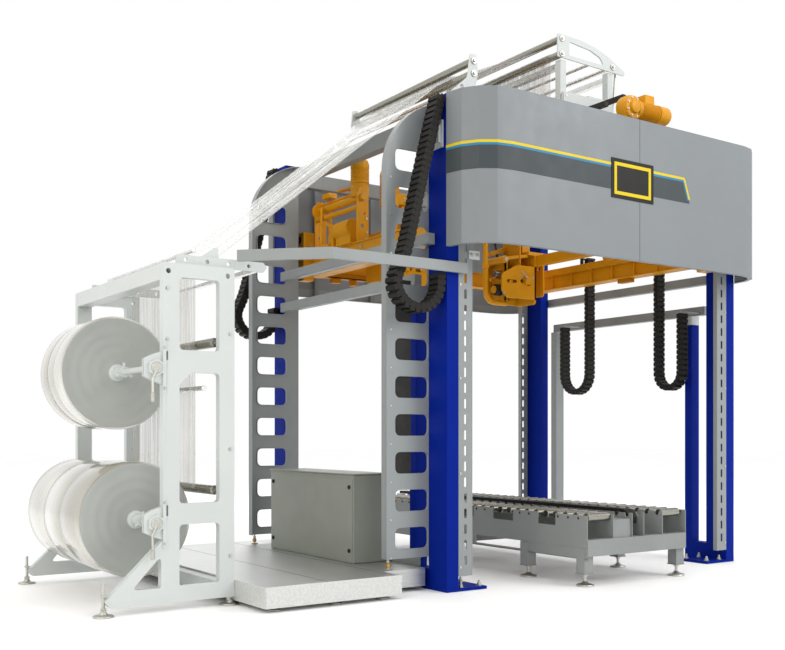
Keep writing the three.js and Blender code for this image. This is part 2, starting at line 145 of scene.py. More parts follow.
def spread_colour(tree, factor, dark, light):
    """A colour between dark and light, following a noise pattern."""
    ramp = tree.nodes.new("ShaderNodeValToRGB")
    for stop, position, colour in zip(ramp.color_ramp.elements, NOISE_SPAN, (dark, light)):
        stop.position = position
        stop.color = (*colour, 1)
    tree.links.new(factor, ramp.inputs["Fac"])
    return ramp.outputs["Color"]


def spread_value(tree, factor, low, high):
    """A number between low and high, following a noise pattern."""
    span = tree.nodes.new("ShaderNodeMapRange")
    span.inputs["From Min"].default_value, span.inputs["From Max"].default_value = NOISE_SPAN
    span.inputs["To Min"].default_value = low
    span.inputs["To Max"].default_value = high
    tree.links.new(factor, span.inputs["Value"])
    return span.outputs["Result"]


def add_bump(tree, shader, height, strength, depth):
    """Raises the surface by a pattern, for grain too fine to model."""
    bump = tree.nodes.new("ShaderNodeBump")
    bump.inputs["Strength"].default_value = strength
    bump.inputs["Distance"].default_value = depth
    tree.links.new(height, bump.inputs["Height"])
    tree.links.new(bump.outputs["Normal"], shader.inputs["Normal"])


def shade(colour, amount):
    """The colour made darker or lighter."""
    return tuple(min(1.0, c * amount) for c in colour)


def enamel(name, colour, rough, coat=0.2, metallic=0.0, grime=0.1, shine=0.35):
    """Sprayed paint: a faint orange-peel surface, slow changes of tone and a little dust."""
    made, tree, shader = new_material(name)
    tone = noise(tree, 1.7, 4)
    tree.links.new(spread_colour(tree, tone, shade(colour, 1 - grime), shade(colour, 1 + grime / 2)),
                   shader.inputs["Base Color"])
    sheen = spread_value(tree, noise(tree, 9, 5), rough - 0.06, rough + 0.1)
    tree.links.new(sheen, shader.inputs["Roughness"])
    add_bump(tree, shader, noise(tree, 260, 2), 0.18, 0.0006)
    shader.inputs["Metallic"].default_value = metallic
    shader.inputs["Specular IOR Level"].default_value = shine
    shader.inputs["Coat Weight"].default_value = coat
    shader.inputs["Coat Roughness"].default_value = 0.12
    return made


def metal(name, colour, rough, grain=(1, 1, 1), scale=60, depth=0.0004):
    """Bare metal with a directional grain: the grain runs along the axis with the smallest stretch."""
    made, tree, shader = new_material(name)
    lines = noise(tree, scale, 6, grain)
    tone = spread_colour(tree, lines, shade(colour, 0.82), shade(colour, 1.12))
    tree.links.new(tone, shader.inputs["Base Color"])
    tree.links.new(spread_value(tree, lines, rough - 0.08, rough + 0.12), shader.inputs["Roughness"])
    add_bump(tree, shader, lines, 0.3, depth)
    shader.inputs["Metallic"].default_value = 1.0
    return made


def plastic(name, colour, rough):
    """Moulded plastic with a fine grain."""
    made, tree, shader = new_material(name)
    grain = noise(tree, 220, 3)
    tree.links.new(spread_colour(tree, noise(tree, 14, 3), shade(colour, 0.8), shade(colour, 1.25)),
                   shader.inputs["Base Color"])
    tree.links.new(spread_value(tree, grain, rough - 0.08, rough + 0.1), shader.inputs["Roughness"])
    add_bump(tree, shader, grain, 0.35, 0.0005)
    shader.inputs["Specular IOR Level"].default_value = 0.25
    return made


def film_material(name, stretch, low, high):
    """Thin clear film: lengthwise creases change how much of it is milky."""
    made, tree, shader = new_material(name)
    creases = noise(tree, 3.2, 7, stretch)
    tree.links.new(spread_value(tree, creases, low, high), shader.inputs["Alpha"])
    tone = spread_colour(tree, creases, (0.34, 0.335, 0.29), (0.62, 0.62, 0.57))
    tree.links.new(tone, shader.inputs["Base Color"])
    add_bump(tree, shader, creases, 0.7, 0.012)
    shader.inputs["Roughness"].default_value = 0.16
    shader.inputs["Specular IOR Level"].default_value = 0.4
    return made


def wound_film_material():
    """Film wound on a reel: glossy, with faint rings round the axle and broad patches of tone."""
    made, tree, shader = new_material("wound_film")
    patches = noise(tree, 1.6, 1, (1.0, 0.9, 1.0))
    rings = noise(tree, 1.0, 2, (0.1, 22, 0.1))
    tone = spread_colour(tree, patches, (0.36, 0.345, 0.28), (0.84, 0.84, 0.80))
    tree.links.new(tone, shader.inputs["Base Color"])
    tree.links.new(spread_value(tree, rings, 0.12, 0.22), shader.inputs["Roughness"])
    add_bump(tree, shader, rings, 0.03, 0.001)
    shader.inputs["Metallic"].default_value = 0.55
    shader.inputs["Coat Weight"].default_value = 0.7
    shader.inputs["Coat Roughness"].default_value = 0.08
    return made


def reel_end_material():
    """The end of a wound reel: edges of film, rougher than the outside."""
    made, tree, shader = new_material("reel_end")
    tree.links.new(spread_colour(tree, noise(tree, 2.4, 5), (0.345, 0.36, 0.34), (0.41, 0.425, 0.40)),
                   shader.inputs["Base Color"])
    add_bump(tree, shader, noise(tree, 90, 4), 0.25, 0.002)
    shader.inputs["Roughness"].default_value = 0.42
    return made


def checker_plate_material():
    """Pale floor plate with raised tears."""
    made, tree, shader = new_material("checker_plate")
    coords = tree.nodes.new("ShaderNodeTexCoord")
    turn = tree.nodes.new("ShaderNodeMapping")
    turn.inputs["Rotation"].default_value = (math.radians(45), math.radians(45), math.radians(45))
    tears = tree.nodes.new("ShaderNodeTexVoronoi")
    tears.inputs["Scale"].default_value = 60
    tree.links.new(coords.outputs["Object"], turn.inputs["Vector"])
    tree.links.new(turn.outputs["Vector"], tears.inputs["Vector"])
    height = spread_value(tree, tears.outputs["Distance"], 1.0, 0.0)
    tree.links.new(spread_colour(tree, tears.outputs["Distance"], (0.66, 0.665, 0.65), (0.60, 0.605, 0.59)),
                   shader.inputs["Base Color"])
    add_bump(tree, shader, height, 0.5, 0.0015)
    shader.inputs["Metallic"].default_value = 0.4
    shader.inputs["Roughness"].default_value = 0.38
    return made


MAT = {
    "blue": enamel("blue_enamel_paint", (0.0012, 0.015, 0.235), 0.46, 0.0, 0.0, 0.06, 0.05),
    "cover": enamel("cover_paint", (0.220, 0.236, 0.246), 0.46, 0.05, 0.1, 0.03, 0.2),
    "grey": enamel("light_grey_paint", (0.27, 0.29, 0.29), 0.44, 0.08, 0.1, 0.06, 0.3),
    "white": enamel("rack_white_paint", (0.575, 0.61, 0.60), 0.38, 0.15, 0.0, 0.05),
    "orange": enamel("orange_paint", (0.70, 0.31, 0.004), 0.42, 0.08, 0.0, 0.2, 0.2),
    "orange_deep": enamel("orange_paint_deep", (0.46, 0.185, 0.003), 0.45, 0.05, 0.0, 0.3, 0.15),
    "band": enamel("band_dark_grey", (0.055, 0.065, 0.07), 0.42, 0.03, 0.0, 0.05, 0.2),
    "yellow": enamel("band_yellow", (0.66, 0.50, 0.006), 0.4, 0.05, 0.0, 0.04, 0.2),
    "cyan": enamel("band_blue", (0.03, 0.20, 0.36), 0.4, 0.05, 0.0, 0.04, 0.2),
    "black": enamel("badge_black", (0.012, 0.011, 0.008), 0.4, 0.05, 0.0, 0.04, 0.2),
    "dark": plastic("dark_plastic", (0.022, 0.021, 0.018), 0.5),
    "chain": plastic("chain_plastic", (0.0095, 0.0085, 0.0065), 0.55),
    "conveyor": enamel("conveyor_paint", (0.25, 0.265, 0.26), 0.44, 0.08, 0.1, 0.12, 0.3),
    "cabinet": enamel("cabinet_paint", (0.275, 0.29, 0.25), 0.40, 0.08, 0.1, 0.06, 0.3),
    "bright": metal("bright_steel", (0.80, 0.80, 0.78), 0.22, (1, 1, 1), 30),
    "roller": metal("roller_steel", (0.34, 0.33, 0.285), 0.24, (1.5, 60, 60), 3),
    "deck": metal("deck_steel", (0.60, 0.61, 0.59), 0.40, (0.6, 26, 26), 6, 0.0008),
    "zinc": metal("zinc_bolts", (0.55, 0.55, 0.50), 0.38, (1, 1, 1), 120),
    "tip": metal("orange_tip", (0.62, 0.36, 0.08), 0.42, (1, 1, 1), 120),
    "reel": wound_film_material(),
    "reel_end": reel_end_material(),
    "checker": checker_plate_material(),
    "film_up": film_material("film_rising", (1, 9, 0.25), 0.12, 0.46),
    "film_slope": film_material("film_sloping", (0.25, 9, 0.25), 0.20, 0.58),
}

floor_material, floor_tree, floor_shader = new_material("floor")
floor_tone = spread_colour(floor_tree, noise(floor_tree, 0.4, 3), (0.985, 0.985, 0.985), (1.0, 1.0, 1.0))
floor_tree.links.new(floor_tone, floor_shader.inputs["Base Color"])
floor_shader.inputs["Roughness"].default_value = 0.75
FLOOR_HALF = 45
floor_mesh = bpy.data.meshes.new("floor")
floor_corners = [(x * FLOOR_HALF, y * FLOOR_HALF, 0) for x, y in ((-1, -1), (1, -1), (1, 1), (-1, 1))]
floor_mesh.from_pydata(floor_corners, [], [(0, 1, 2, 3)])
floor_mesh.materials.append(floor_material)
floor = bpy.data.objects.new("floor", floor_mesh)
floor.location.z = -0.0005
bpy.context.scene.collection.objects.link(floor)


# ---- outlines ----
# Each plane turns a point of an outline, and the distance across the plane, into a place.
PLANES = {"XZ": lambda u, v, t: (u, t, v), "XY": lambda u, v, t: (u, v, t), "YZ": lambda u, v, t: (t, u, v)}
# The faces of a block whose eight corners run along x first, then y, then z.
BLOCK_FACES = [(0, 2, 3, 1), (4, 5, 7, 6), (0, 1, 5, 4), (2, 6, 7, 3), (0, 4, 6, 2), (1, 3, 7, 5)]


DISC_SIDES = 20


def arc(cx, cy, r, start, stop, steps):
    """Points on a circle from one angle to another, in degrees."""
    angles = [math.radians(start + (stop - start) * i / steps) for i in range(steps + 1)]
    return [(cx + r * math.cos(a), cy + r * math.sin(a)) for a in angles]


def rounded(points, r, steps=5):
    """The closed outline with every corner rounded. r is one radius, or one for each corner."""
    made = []
    count = len(points)
    radii = r if isinstance(r, (list, tuple)) else [r] * count
    for i, corner in enumerate(points):
        here = Vector(corner)
        before = Vector(points[i - 1]) - here
        after = Vector(points[(i + 1) % count]) - here
        turn = before.angle(after)
        reach = min(radii[i] / math.tan(turn / 2), before.length * 0.49, after.length * 0.49)
        if reach < 1e-5:
            made.append(tuple(here))
            continue
        a = here + before.normalized() * reach
        b = here + after.normalized() * reach
        for k in range(steps + 1):
            t = k / steps
            made.append(tuple(a * (1 - t) ** 2 + here * (2 * t * (1 - t)) + b * t ** 2))
    return made


def rectangle(u0, u1, v0, v1, r=0.0):
    """A rectangle's outline, with its corners rounded where r is given."""
    corners = [(u0, v0), (u1, v0), (u1, v1), (u0, v1)]
    return rounded(corners, r) if r else corners


def disc(cu, cv, r):
    """A circle's outline."""
    return arc(cu, cv, r, 0, 360 - 360 / DISC_SIDES, DISC_SIDES - 1)


def offset_line(points, shift):
    """The open line moved sideways, to its right, by shift."""
    made = []
    for i, point in enumerate(points):
        here = Vector(point)
        into = here - Vector(points[max(i - 1, 0)])
        out = Vector(points[min(i + 1, len(points) - 1)]) - here
        into = into.normalized() if into.length > 1e-9 else out.normalized()
        out = out.normalized() if out.length > 1e-9 else into
        along = (into + out).normalized()
        reach = shift / max(0.5, along.dot(into))
        made.append((here.x + along.y * reach, here.y - along.x * reach))
    return made


def ribbon(points, thickness, shift=0.0):
    """A closed outline of one thickness along an open line."""
    right = offset_line(points, shift + thickness / 2)
    left = offset_line(points, shift - thickness / 2)
    return right + left[::-1]


class Shape:
    """Solids gathered into one mesh, drawn from the centre of the columns."""

    def __init__(self):
        self.bm = bmesh.new()
        self.look = 0

    def _face(self, corners):
        """One face in the look that is being painted."""
        self.bm.faces.new(corners).material_index = self.look

    def _block(self, corners):
        """The six faces between eight corners."""
        made = [self.bm.verts.new(corner) for corner in corners]
        for face in BLOCK_FACES:
            self._face([made[i] for i in face])
        return self

    def _ring(self, centre, side, other, r, sides):
        """Corners on a circle."""
        angles = [2 * math.pi * k / sides for k in range(sides)]
        return [self.bm.verts.new(centre + (side * math.cos(a) + other * math.sin(a)) * r) for a in angles]

    def _skin(self, rings):
        """Faces from each ring of corners to the next, closed at both ends."""
        sides = len(rings[0])
        for low, high in zip(rings, rings[1:]):
            for k in range(sides):
                after = (k + 1) % sides
                self._face((low[k], low[after], high[after], high[k]))
        self._face(rings[0][::-1])
        self._face(rings[-1])
        return self

    def box(self, x0, x1, y0, y1, z0, z1):
        """A block between two limits on each axis."""
        x0, x1 = sorted((x0, x1))
        y0, y1 = sorted((y0, y1))
        z0, z1 = sorted((z0, z1))
        return self._block([(x, y, z) for z in (z0, z1) for y in (y0, y1) for x in (x0, x1)])

    def lathe(self, start, end, profile, sides=28):
        """A turned solid: profile holds (distance from start along the axis, radius)."""
        start, end = Vector(start), Vector(end)
        axis = (end - start).normalized()
        side = axis.orthogonal().normalized()
        other = axis.cross(side)
        return self._skin([self._ring(start + axis * along, side, other, r, sides) for along, r in profile])

    def brick(self, centre, along, up, half):
        """A box turned to lie along a direction: half holds its half sizes along, across and up."""
        along, up = Vector(along).normalized(), Vector(up).normalized()
        across = up.cross(along)
        corners = [Vector(centre) + along * a * half[0] + across * b * half[1] + up * c * half[2]
                   for c in (-1, 1) for b in (-1, 1) for a in (-1, 1)]
        return self._block(corners)

    def rod(self, start, end, r, sides=24, chamfer=0.0):
        """A round bar between two places, with chamfered ends where a chamfer is given."""
        length = (Vector(end) - Vector(start)).length
        if chamfer:
            profile = [(0, r - chamfer), (chamfer, r), (length - chamfer, r), (length, r - chamfer)]
        else:
            profile = [(0, r), (length, r)]
        return self.lathe(start, end, profile, sides)

    def bolt(self, place, axis, r=0.009, high=0.007):
        """A hexagon head on a washer."""
        place, axis = Vector(place), Vector(axis).normalized()
        self.rod(place, place + axis * high * 0.3, r * 1.45, 18)
        self.rod(place + axis * high * 0.3, place + axis * high * 1.3, r, 6)
        return self

    def plate(self, plane, outline, t0, t1, holes=()):
        """A flat plate with holes, drawn in a plane and standing from t0 to t1 across it."""
        t0, t1 = sorted((t0, t1))
        loops = [outline, *holes]
        flat = [[Vector((u, v, 0)) for u, v in loop] for loop in loops]
        triangles = tessellate_polygon(flat)
        lift = PLANES[plane]
        points = [p for loop in loops for p in loop]
        low = [self.bm.verts.new(lift(u, v, t0)) for u, v in points]
        high = [self.bm.verts.new(lift(u, v, t1)) for u, v in points]
        for a, b, c in triangles:
            self._face((low[a], low[b], low[c]))
            self._face((high[c], high[b], high[a]))
        first = 0
        for loop in loops:
            count = len(loop)
            for k in range(count):
                a, b = first + k, first + (k + 1) % count
                self._face((low[a], low[b], high[b], high[a]))
            first += count
        return self

    def tube(self, points, r, sides):
        """A round bar along a line of points, mitred at each point."""
        points = [Vector(p) for p in points]
        rings = []
        up = None
        for i, here in enumerate(points):
            into = here - points[i - 1] if i else points[1] - here
            out = points[i + 1] - here if i + 1 < len(points) else here - points[i - 1]
            along = (into.normalized() + out.normalized()).normalized()
            if up is None:
                up = along.orthogonal().normalized()
            up = (up - along * up.dot(along)).normalized()
            rings.append(self._ring(here, up, along.cross(up), r, sides))
        return self._skin(rings)

    def paint(self, look):
        """What is drawn from here on takes this number in the piece's list of materials."""
        self.look = look
        return self

    def mirror(self, sx, sy):
        """Turns a shape drawn for the rear right over to another side: each sign is 1 or -1."""
        bmesh.ops.scale(self.bm, vec=(sx, sy, 1), verts=self.bm.verts)
        return self

    def done(self, name, body, looks, slot, bevel=0.0015, replaces=None, blend=None, smooth=35):
        """Closes the mesh and makes the piece that rides on the body, or, when blend is given, a piece that
        rides on no body.
        """
        bmesh.ops.recalc_face_normals(self.bm, faces=self.bm.faces)
        bmesh.ops.translate(self.bm, vec=CENTRE, verts=self.bm.verts)
        mesh = bpy.data.meshes.new(name)
        self.bm.to_mesh(mesh)
        self.bm.free()
        for face in mesh.polygons:
            face.use_smooth = True
        mesh.set_sharp_from_angle(angle=math.radians(smooth))
        for look in [looks] if isinstance(looks, str) else looks:
            mesh.materials.append(MAT[look])
        piece = bpy.data.objects.new(name, mesh)
        bpy.context.scene.collection.objects.link(piece)
        if bevel:
            soften(piece, bevel)
        if blend:
            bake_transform(piece)
        else:
            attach(piece, body)
        if replaces:
            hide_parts(replaces)


def soften(piece, width):
    """Rounds the piece's sharp edges a little."""
    edge = piece.modifiers.new("edge", "BEVEL")
    edge.width = width
    edge.segments = 2
    edge.limit_method = "ANGLE"
    edge.angle_limit = math.radians(40)
    edge.harden_normals = False


def dress(node, look, bevel=0.003):
    """A CAD node keeps its shape and gets a material and softened edges."""
    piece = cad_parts[node]
    piece.data.materials.clear()
    piece.data.materials.append(MAT[look])
    weld = piece.modifiers.new("weld", "WELD")
    weld.merge_threshold = 0.0002
    soften(piece, bevel)


# ---- columns, guide strips and rails ----
STRIP_IN, STRIP_OUT = 1.265, 1.381
STRIP_LOW, STRIP_HIGH = 0.10, 3.14
STRIP_THICK, STRIP_FLANGE = 0.006, 0.036
SLOT_WIDE, SLOT_TALL, SLOT_PITCH, SLOT_FIRST = 0.022, 0.065, 0.104, 0.07
STRIP_BOLTS = (0.16, 0.78, 1.41, 2.03, 2.66)
COLUMN_Y = 1.2


def slotted_strip(end, side, sx, sy):
    """The guide strip on a column's inner edge, punched with slots all the way up."""
    shape = Shape()
    outline = rectangle(STRIP_IN, STRIP_OUT, STRIP_LOW, STRIP_HIGH, 0.004)
    middle = (STRIP_IN + STRIP_OUT) / 2
    count = int((STRIP_HIGH - STRIP_LOW - 0.1) / SLOT_PITCH)
    slots = []
    left, right = middle - SLOT_WIDE / 2, middle + SLOT_WIDE / 2
    for i in range(count):
        z = STRIP_LOW + SLOT_FIRST + i * SLOT_PITCH
        slots.append(rectangle(left, right, z, z + SLOT_TALL, SLOT_WIDE * 0.45))
    shape.plate("XZ", outline, COLUMN_Y - STRIP_THICK, COLUMN_Y, slots)
    shape.box(STRIP_IN - 0.0005, STRIP_IN + STRIP_THICK, COLUMN_Y - STRIP_FLANGE, COLUMN_Y + 0.0005,
              STRIP_LOW, STRIP_HIGH)
    for z in STRIP_BOLTS:
        shape.paint(1).bolt((STRIP_OUT - 0.014, COLUMN_Y, z), (0, 1, 0), 0.007, 0.005)
    shape.mirror(sx, sy)
    node = f"guide_strip_{end}_{side}"
    shape.done(f"{node}_slotted", "frame", ["grey", "zinc"], "grey_enamel", 0.0008, replaces=node)


def base_bolts(end, side, sx, sy):
    """Anchor bolts through a column's base plate, and the weld along the column's foot."""
    shape = Shape()
    for x in (1.18, 1.335):
        for y in (0.965, 1.165):
            shape.rod((x, y, 0.0205), (x, y, 0.024), 0.021, 20)
            shape.rod((x, y, 0.024), (x, y, 0.040), 0.015, 6)
            shape.rod((x, y, 0.040), (x, y, 0.058), 0.008, 14)
    shape.mirror(sx, sy)
    shape.done(f"base_bolts_{end}_{side}", "frame", "zinc", "roller_steel", 0.001)
    weld = Shape()
    weld.tube([(1.380, 0.998, 0.021), (1.380, 1.1985, 0.021)], 0.005, 8)
    weld.mirror(sx, sy)
    weld.done(f"base_weld_{end}_{side}", "frame", "blue", "blue_enamel", 0)


for end, side, sx, sy in CORNERS:
    dress(f"column_{end}_{side}", "blue", 0.004)
    slotted_strip(end, side, sx, sy)
    base_bolts(end, side, sx, sy)
    cap = Shape().box(1.384, 1.476, 1.002, 1.198, 3.2752, 3.280).mirror(sx, sy)
    cap.done(f"column_cap_{end}_{side}", "frame", "dark", "black_chain", 0.002)

for side in SIDES:
    for level in LEVELS:
        dress(f"rail_{side}_{level}", "grey", 0.004)
dress("top_frame", "grey", 0.004)
dress("base_skirt", "grey", 0.002)
dress("bent_bar", "grey", 0.002)


# ---- front and rear covers ----
COVER_X, COVER_Y, COVER_END, COVER_R, COVER_HALF = 1.484, 1.520, 1.203, 0.300, 0.003
COVER_LOW, COVER_TOP = 2.270, 3.276
BAND_LOW, BAND_TOP = 2.745, 2.930
CORNER_FACETS = 4


def cover_line():
    """The front cover's sheet from its left end to its right end, seen from above."""
    inner_x, inner_y = COVER_X - COVER_R, COVER_Y - COVER_R
    left = arc(-inner_x, -inner_y, COVER_R, 180, 270, CORNER_FACETS)
    right = arc(inner_x, -inner_y, COVER_R, 270, 360, CORNER_FACETS)
    return [(-COVER_X, -COVER_END), *left, *right, (COVER_X, -COVER_END)]


def cut_line(points, x_end):
    """The part of the line left of x_end."""
    kept = []
    for a, b in zip(points, points[1:]):
        kept.append(a)
        if b[0] >= x_end > a[0]:
            t = (x_end - a[0]) / (b[0] - a[0])
            kept.append((x_end, a[1] + (b[1] - a[1]) * t))
            break
    return kept


def cover_strip(name, look, low, high, x_end, slant=0.0):
    """A flat strip of colour laid on the cover's outer face, with a slanted right end."""
    proud = 0.0012
    line = cut_line(cover_line(), x_end)
    outside = offset_line(line, COVER_HALF + proud)
    inside = offset_line(line, COVER_HALF - 0.0002)
    shape = Shape()
    made = []
    for i, (a, b) in enumerate(zip(outside, inside)):
        lean = slant if i == len(line) - 1 else 0.0
        made.append([shape.bm.verts.new((a[0] + lean, a[1], low)), shape.bm.verts.new((a[0], a[1], high)),
                     shape.bm.verts.new((b[0], b[1], high)), shape.bm.verts.new((b[0] + lean, b[1], low))])
    for here, after in zip(made, made[1:]):
        for k in range(4):
            shape.bm.faces.new((here[k], after[k], after[(k + 1) % 4], here[(k + 1) % 4]))
    shape.bm.faces.new(made[0])
    shape.bm.faces.new(made[-1][::-1])
    shape.done(name, "frame", look, "grey_enamel", 0, smooth=15)


for cover, turn in (("front_cover", 1), ("rear_cover", -1)):
    line = cover_line()
    sheet = Shape()
    sheet.plate("XY", ribbon(line, 2 * COVER_HALF, 0), COVER_LOW, COVER_TOP)
    sheet.mirror(1, turn)
    sheet.done(f"{cover}_sheet", "frame", "cover", "grey_enamel", 0.0015, replaces=cover, smooth=15)
    folds = Shape()
    folds.plate("XY", ribbon(line, 0.028, -0.017), COVER_LOW, COVER_LOW + 0.003)
    folds.plate("XY", ribbon(line, 0.040, -0.023), COVER_TOP - 0.003, COVER_TOP)
    for x in (-0.9, -0.3, 0.3, 0.9):
        folds.box(x - 0.02, x + 0.02, -COVER_Y + 0.0032, -COVER_Y + 0.045,
                  COVER_LOW + 0.004, COVER_TOP - 0.004)
    folds.mirror(1, turn)
    folds.done(f"{cover}_folds", "frame", "cover", "grey_enamel", 0.0008)
    lip = Shape()
    lip.plate("XY", ribbon(line, 0.002, -0.0045), COVER_LOW + 0.004, COVER_LOW + 0.075)
    lip.mirror(1, turn)
    lip.done(f"{cover}_lip", "frame", "grey", "grey_enamel", 0)

YELLOW_LOW, BLUE_LOW = BAND_TOP - 0.018, BAND_TOP - 0.034
cover_strip("cover_band_grey", "band", BAND_LOW, BLUE_LOW, 0.480, 0.055)
cover_strip("cover_band_yellow", "yellow", YELLOW_LOW, BAND_TOP, 0.480, 0.006)
cover_strip("cover_band_blue", "cyan", BLUE_LOW, YELLOW_LOW, 0.486, 0.006)

COVER_FACE = -COVER_Y - COVER_HALF
yellow_end = [(0.462, BAND_TOP), (0.480, BAND_TOP), (0.540, BAND_LOW + 0.03), (0.522, BAND_LOW + 0.03)]
blue_end = [(0.452, YELLOW_LOW), (0.466, YELLOW_LOW), (0.524, BAND_LOW + 0.02), (0.510, BAND_LOW + 0.02)]
stripe_end = Shape()
stripe_end.plate("XZ", yellow_end, COVER_FACE - 0.0014, COVER_FACE)
stripe_end.paint(1).plate("XZ", blue_end, COVER_FACE - 0.0016, COVER_FACE)
stripe_end.done("cover_band_end", "frame", ["yellow", "cyan"], "grey_enamel", 0)

seam = Shape().box(-0.0015, 0.0015, COVER_FACE - 0.0006, COVER_FACE + 0.001, COVER_LOW, COVER_TOP)
seam.done("cover_seam", "frame", "dark", "grey_enamel", 0)

# A plain badge: a black plate with a yellow line round it and no mark inside.
badge = Shape()
badge.plate("XZ", rectangle(-0.291, 0.139, 2.688, 2.966, 0.006), COVER_FACE - 0.004, COVER_FACE)
border = rectangle(-0.262, 0.110, 2.714, 2.940, 0.004)
inside_border = rectangle(-0.238, 0.086, 2.738, 2.916, 0.003)
badge.paint(1).plate("XZ", border, COVER_FACE - 0.0055, COVER_FACE - 0.004, [inside_border])
badge.done("cover_badge", "frame", ["black", "yellow"], "grey_enamel", 0)


# ---- chain guide panels beside the left columns ----
PANEL_LEFT, PANEL_RIGHT, PANEL_LOW, PANEL_TOP, PANEL_ARC = -1.819, -1.362, 0.220, 3.270, 0.500
PANEL_OUT, PANEL_FOLD, PANEL_SHEET = 0.998, 0.020, 0.006
WINDOW_LEFT, WINDOW_RIGHT, WINDOW_TALL = -1.750, -1.480, 0.145
WINDOW_FIRST, WINDOW_PITCH, WINDOWS = 0.279, 0.250, 11


def ladder(end, sy):
    """A tall windowed sheet, arched at the top, with its outer edge folded in."""
    node = f"ladder_panel_{end}"
    centre = (PANEL_LEFT + PANEL_ARC, PANEL_TOP - PANEL_ARC)
    edge = arc(*centre, PANEL_ARC, 180, 95, 22)
    outline = [(PANEL_LEFT, PANEL_LOW), *edge, (PANEL_RIGHT, PANEL_TOP - 0.002), (PANEL_RIGHT, PANEL_LOW)]
    windows = []
    for i in range(WINDOWS):
        z = WINDOW_FIRST + i * WINDOW_PITCH
        windows.append(rectangle(WINDOW_LEFT, WINDOW_RIGHT, z, z + WINDOW_TALL, 0.045))
    shape = Shape()
    shape.plate("XZ", outline, PANEL_OUT - PANEL_SHEET, PANEL_OUT, windows)
    fold = [(PANEL_LEFT + 0.003, PANEL_LOW), *arc(*centre, PANEL_ARC - 0.003, 180, 95, 22)]
    shape.plate("XZ", ribbon(fold, PANEL_SHEET), PANEL_OUT - 0.06, PANEL_OUT - PANEL_SHEET + 0.001)
    for window in windows:
        shape.plate("XZ", ribbon([*window, window[0]], 0.004), PANEL_OUT - 0.016, PANEL_OUT - PANEL_SHEET)
    shape.mirror(1, sy)
    shape.done(f"{node}_sheet", "frame", "grey", "grey_enamel", 0.001, replaces=node)
    screws = Shape()
    for i in range(WINDOWS + 1):
        z = WINDOW_FIRST + i * WINDOW_PITCH - 0.052
        for x in (PANEL_LEFT + 0.034, PANEL_RIGHT - 0.060):
            if z < PANEL_TOP - PANEL_ARC:
                screws.rod((x, PANEL_OUT - 0.001, z), (x, PANEL_OUT + 0.0035, z), 0.007, 14, 0.001)
    screws.mirror(1, sy)
    screws.done(f"ladder_screws_{end}", "frame", "zinc", "roller_steel", 0)
    feet = Shape()
    y = PANEL_OUT - PANEL_FOLD - 0.012
    for x in (PANEL_LEFT + 0.035, PANEL_RIGHT - 0.045):
        feet.rod((x, y, 0.152), (x, y, 0.158), 0.028, 20, 0.002)
        feet.rod((x, y, 0.158), (x, y, 0.232), 0.007, 14)
        feet.rod((x, y, 0.198), (x, y, 0.210), 0.013, 6)
        feet.paint(1).rod((x, y, 0.166), (x, y, 0.194), 0.016, 16, 0.003).paint(0)
    feet.mirror(1, sy)
    feet.done(f"ladder_feet_{end}", "frame", ["zinc", "tip"], "roller_steel", 0)


for end, sy in ENDS.items():
    ladder(end, sy)


# ---- cabinet and platform ----
cab_low, cab_high = node_box("control_cabinet")
dress("control_cabinet", "cabinet", 0.006)
lid = Shape()
lid_x = cab_low.x - 0.0015
door = rectangle(cab_low.y + 0.014, cab_high.y - 0.014, cab_low.z + 0.016, cab_high.z - 0.028, 0.008)
lid.plate("YZ", door, lid_x - 0.002, lid_x + 0.003)
lid.done("cabinet_door", "frame", "cabinet", "plate_steel", 0.0015)
brow = Shape().box(cab_low.x - 0.012, cab_high.x + 0.004, cab_low.y - 0.006, cab_high.y + 0.006, cab_high.z,
                   cab_high.z + 0.008)
brow.done("cabinet_roof", "frame", "cabinet", "plate_steel", 0.003)
locks = Shape()
for y in (cab_high.y - 0.050, cab_low.y + 0.050):
    for z in (cab_high.z - 0.085, cab_low.z + 0.085):
        locks.rod((lid_x - 0.002, y, z), (lid_x - 0.010, y, z), 0.015, 20, 0.002)
        locks.box(lid_x - 0.014, lid_x - 0.009, y - 0.003, y + 0.003, z - 0.010, z + 0.010)
locks.done("cabinet_locks", "frame", "dark", "black_chain", 0.0008)

plat_low, plat_high = node_box("platform")
dress("platform", "deck", 0.003)
STEP_X = -1.855
skirt = Shape()
skirt_low, skirt_high = plat_low.z - 0.004, plat_high.z + 0.002
skirt.box(plat_low.x + 0.002, STEP_X - 0.002, plat_low.y - 0.004, plat_low.y + 0.001, skirt_low, skirt_high)
skirt.box(plat_low.x - 0.004, plat_low.x + 0.001, plat_low.y, plat_high.y, skirt_low, skirt_high)
skirt.done("platform_skirt", "frame", "checker", "plate_steel", 0.0012)
seams = Shape()
top = plat_high.z
for x in (-2.39, -1.90):
    seams.box(x - 0.0015, x + 0.0015, plat_low.y + 0.01, plat_high.y - 0.01, top, top + 0.0006)
seams.done("platform_seams", "frame", "dark", "plate_steel", 0)
plat_feet = Shape()
for x in (plat_low.x + 0.10, -2.30, -1.95):
    for y in (plat_low.y + 0.08, 0.0, plat_high.y - 0.08):
        plat_feet.rod((x, y, 0), (x, y, 0.010), 0.045, 20, 0.003)
        plat_feet.rod((x, y, 0.010), (x, y, 0.034), 0.010, 12)
plat_feet.done("platform_feet", "frame", "zinc", "roller_steel", 0)


# ---- reel rack ----
RACK_LEFT, RACK_RIGHT, RACK_Y, RACK_HALF, RACK_TOP = -3.283, -2.823, 0.800, 0.025, 2.052
RACK_TOE, RACK_LOW, RACK_KNEE = -3.634, 0.050, 0.420
POST_WIDE = 0.103
REEL_X = -3.324


